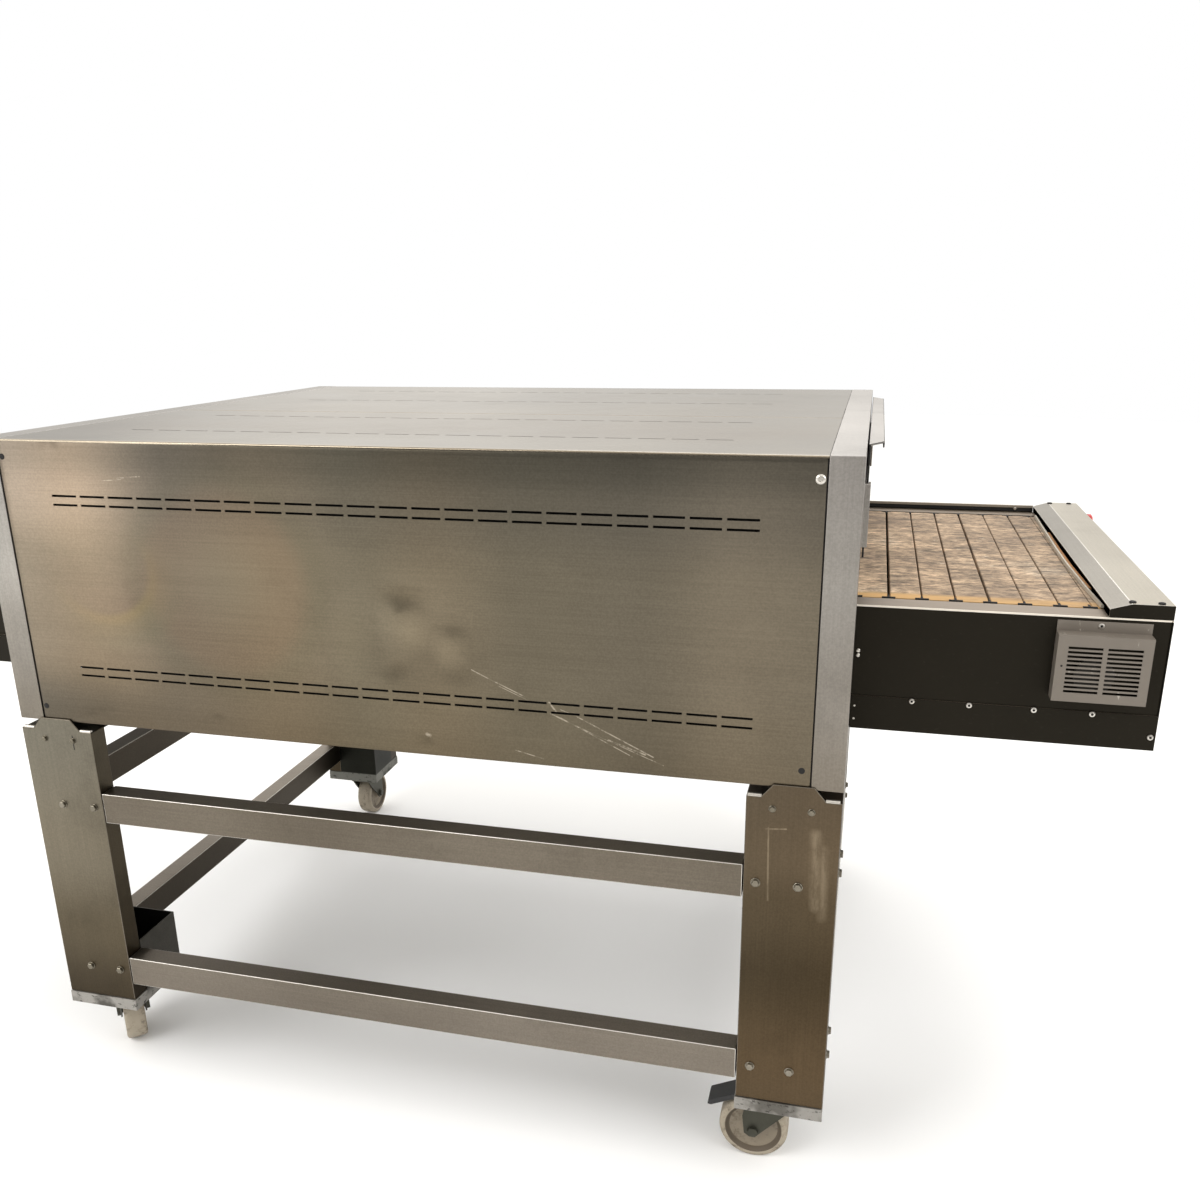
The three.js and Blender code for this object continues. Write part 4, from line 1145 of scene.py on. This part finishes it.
def control_face():
    """Two blank displays, four keys and rings round the main switch and the start button, on the back plate
    of the control box.
    """
    plate_y = CONTROL_LOW.y + 2
    z1 = CONTROL_HIGH.z
    bm = bmesh.new()
    for x in DISPLAYS_X:
        add_box(bm, (x, plate_y, z1 - 110), (x + 120, plate_y + 5, z1 - 40), 2)
    for x in (300, 360):
        for k in range(2):
            add_box(bm, (x, plate_y, z1 - 190 - k * 46), (x + 30, plate_y + 4, z1 - 165 - k * 46), 2)
    add_piece("control_bezels", bm, "black")
    bm = bmesh.new()
    for x in DISPLAYS_X:
        add_box(bm, (x + 10, plate_y + 4, z1 - 98), (x + 110, plate_y + 5.8, z1 - 52), 0.6)
    add_piece("control_displays", bm, "glass")
    bm = bmesh.new()
    ring = [(13, 0), (27, 0), (27, 1.5), (25.5, 2.4), (13, 2.4), (13, 0)]
    for x in (450, 545):  # round the main switch and the start button
        turned(bm, ring, (x, plate_y, 940), (0, 1, 0), 48)
    weld(bm)
    add_piece("control_rings", bm, "bright")


def inner_parts():
    """Nodes that hardly show keep their CAD shape; the others get rounded edges."""
    refined("control_box", "inner", 0.6)
    refined("main_switch_knob", "black", 1.5, 3)
    refined("start_button", "green", 0.8, 3)
    refined("fan_rotor", "black", 0.6)
    refined("gear_motor", "motor", 1.5, 3)
    refined("heater_upper", "heater", 1.0)
    refined("heater_lower", "heater", 1.0)
    kept = {
        "base_pan": "inner", "upper_chamber": "insulation", "lower_chamber": "insulation",
        "belt_return_run": "stone", "chain_front": "chain", "chain_rear": "chain",
        "drive_shaft": "chain", "idle_shaft": "chain"}
    for node, material in kept.items():
        frame["nodes"][node].material_slots[0].material = MATERIALS[material]


# ---- studio ----
def add_light(name, place, target, size, power):
    data = bpy.data.lights.new(name, "AREA")
    data.shape = "RECTANGLE"
    data.size, data.size_y = size
    data.energy = power
    light = add_object(name, data)
    light.visible_camera = False
    light.location = place
    light.rotation_mode = "QUATERNION"
    light.rotation_quaternion = (Vector(target) - Vector(place)).to_track_quat("-Z", "Y")


def add_world():
    """Soft studio, brightest overhead and dim in front, in faint upright bands; white to the camera."""
    world = bpy.data.worlds.new("studio")
    scene.world = world
    world.use_nodes = True
    nodes = Nodes(world.node_tree, "Generated")
    lean = nodes.vector("DOT_PRODUCT", nodes.place, (0, 0.34, 0.8))
    glow = nodes.ramp(nodes.math("ADD", lean, 0.34), [(0, 0.2), (0.8, 1)], False)
    haze = nodes.ramp(nodes.part(nodes.place, "Z"), [(0, 0.55), (0.1, 0.62), (0.34, 1)])
    bands = nodes.ramp(nodes.noise(2.6, 1, (1, 1, 0.12)), [(0.36, 0.78), (0.64, 1.16)])
    colour = nodes.times(nodes.times(glow, haze), bands)
    background = world.node_tree.nodes["Background"]
    nodes.feed(background.inputs["Color"], nodes.times(colour, (1, 0.98, 0.94)))
    background.inputs["Strength"].default_value = 1.4
    white = nodes.node("ShaderNodeBackground")
    nodes.feed(white.inputs["Color"], (1, 1, 1))
    seen = nodes.node("ShaderNodeLightPath").outputs["Is Camera Ray"]
    mixed = nodes.node("ShaderNodeMixShader")
    for socket, value in zip(mixed.inputs, (seen, background.outputs[0], white.outputs[0])):
        nodes.feed(socket, value)
    nodes.feed(world.node_tree.nodes["World Output"].inputs["Surface"], mixed.outputs[0])


def add_floor():
    bm = bmesh.new()
    bmesh.ops.create_circle(bm, cap_ends=True, radius=14, segments=64)
    mesh = bpy.data.meshes.new("floor")
    bm.to_mesh(mesh)
    bm.free()
    floor = add_object("floor", mesh)
    look = Look("floor_white", roughness=0.9)
    look.colour(look.mix(look.noise(1.5, 2), (0.9, 0.9, 0.9), (0.92, 0.92, 0.92)))
    mesh.materials.append(look.material)


add_camera()
casing()
stand()
conveyor()
fasteners()
stop_collars()
control_face()
inner_parts()
add_world()
add_floor()
add_light("key_softbox", (-2.6, -3.4, 3.6), (0, 0, 0.8), (3.0, 2.0), 110)
add_light("low_softbox", (-2.5, -3.0, 1.35), (-0.4, -0.6, 0.95), (1.0, 1.2), 12)
add_light("fill_softbox", (3.8, -1.8, 2.8), (0.6, 0, 0.8), (2.2, 2.2), 60)
add_light("back_softbox", (0.5, 3.6, 4.0), (0, 0, 0.9), (3.5, 1.6), 60)
scene.view_settings.view_transform = "Standard"
scene.cycles.use_denoising = True
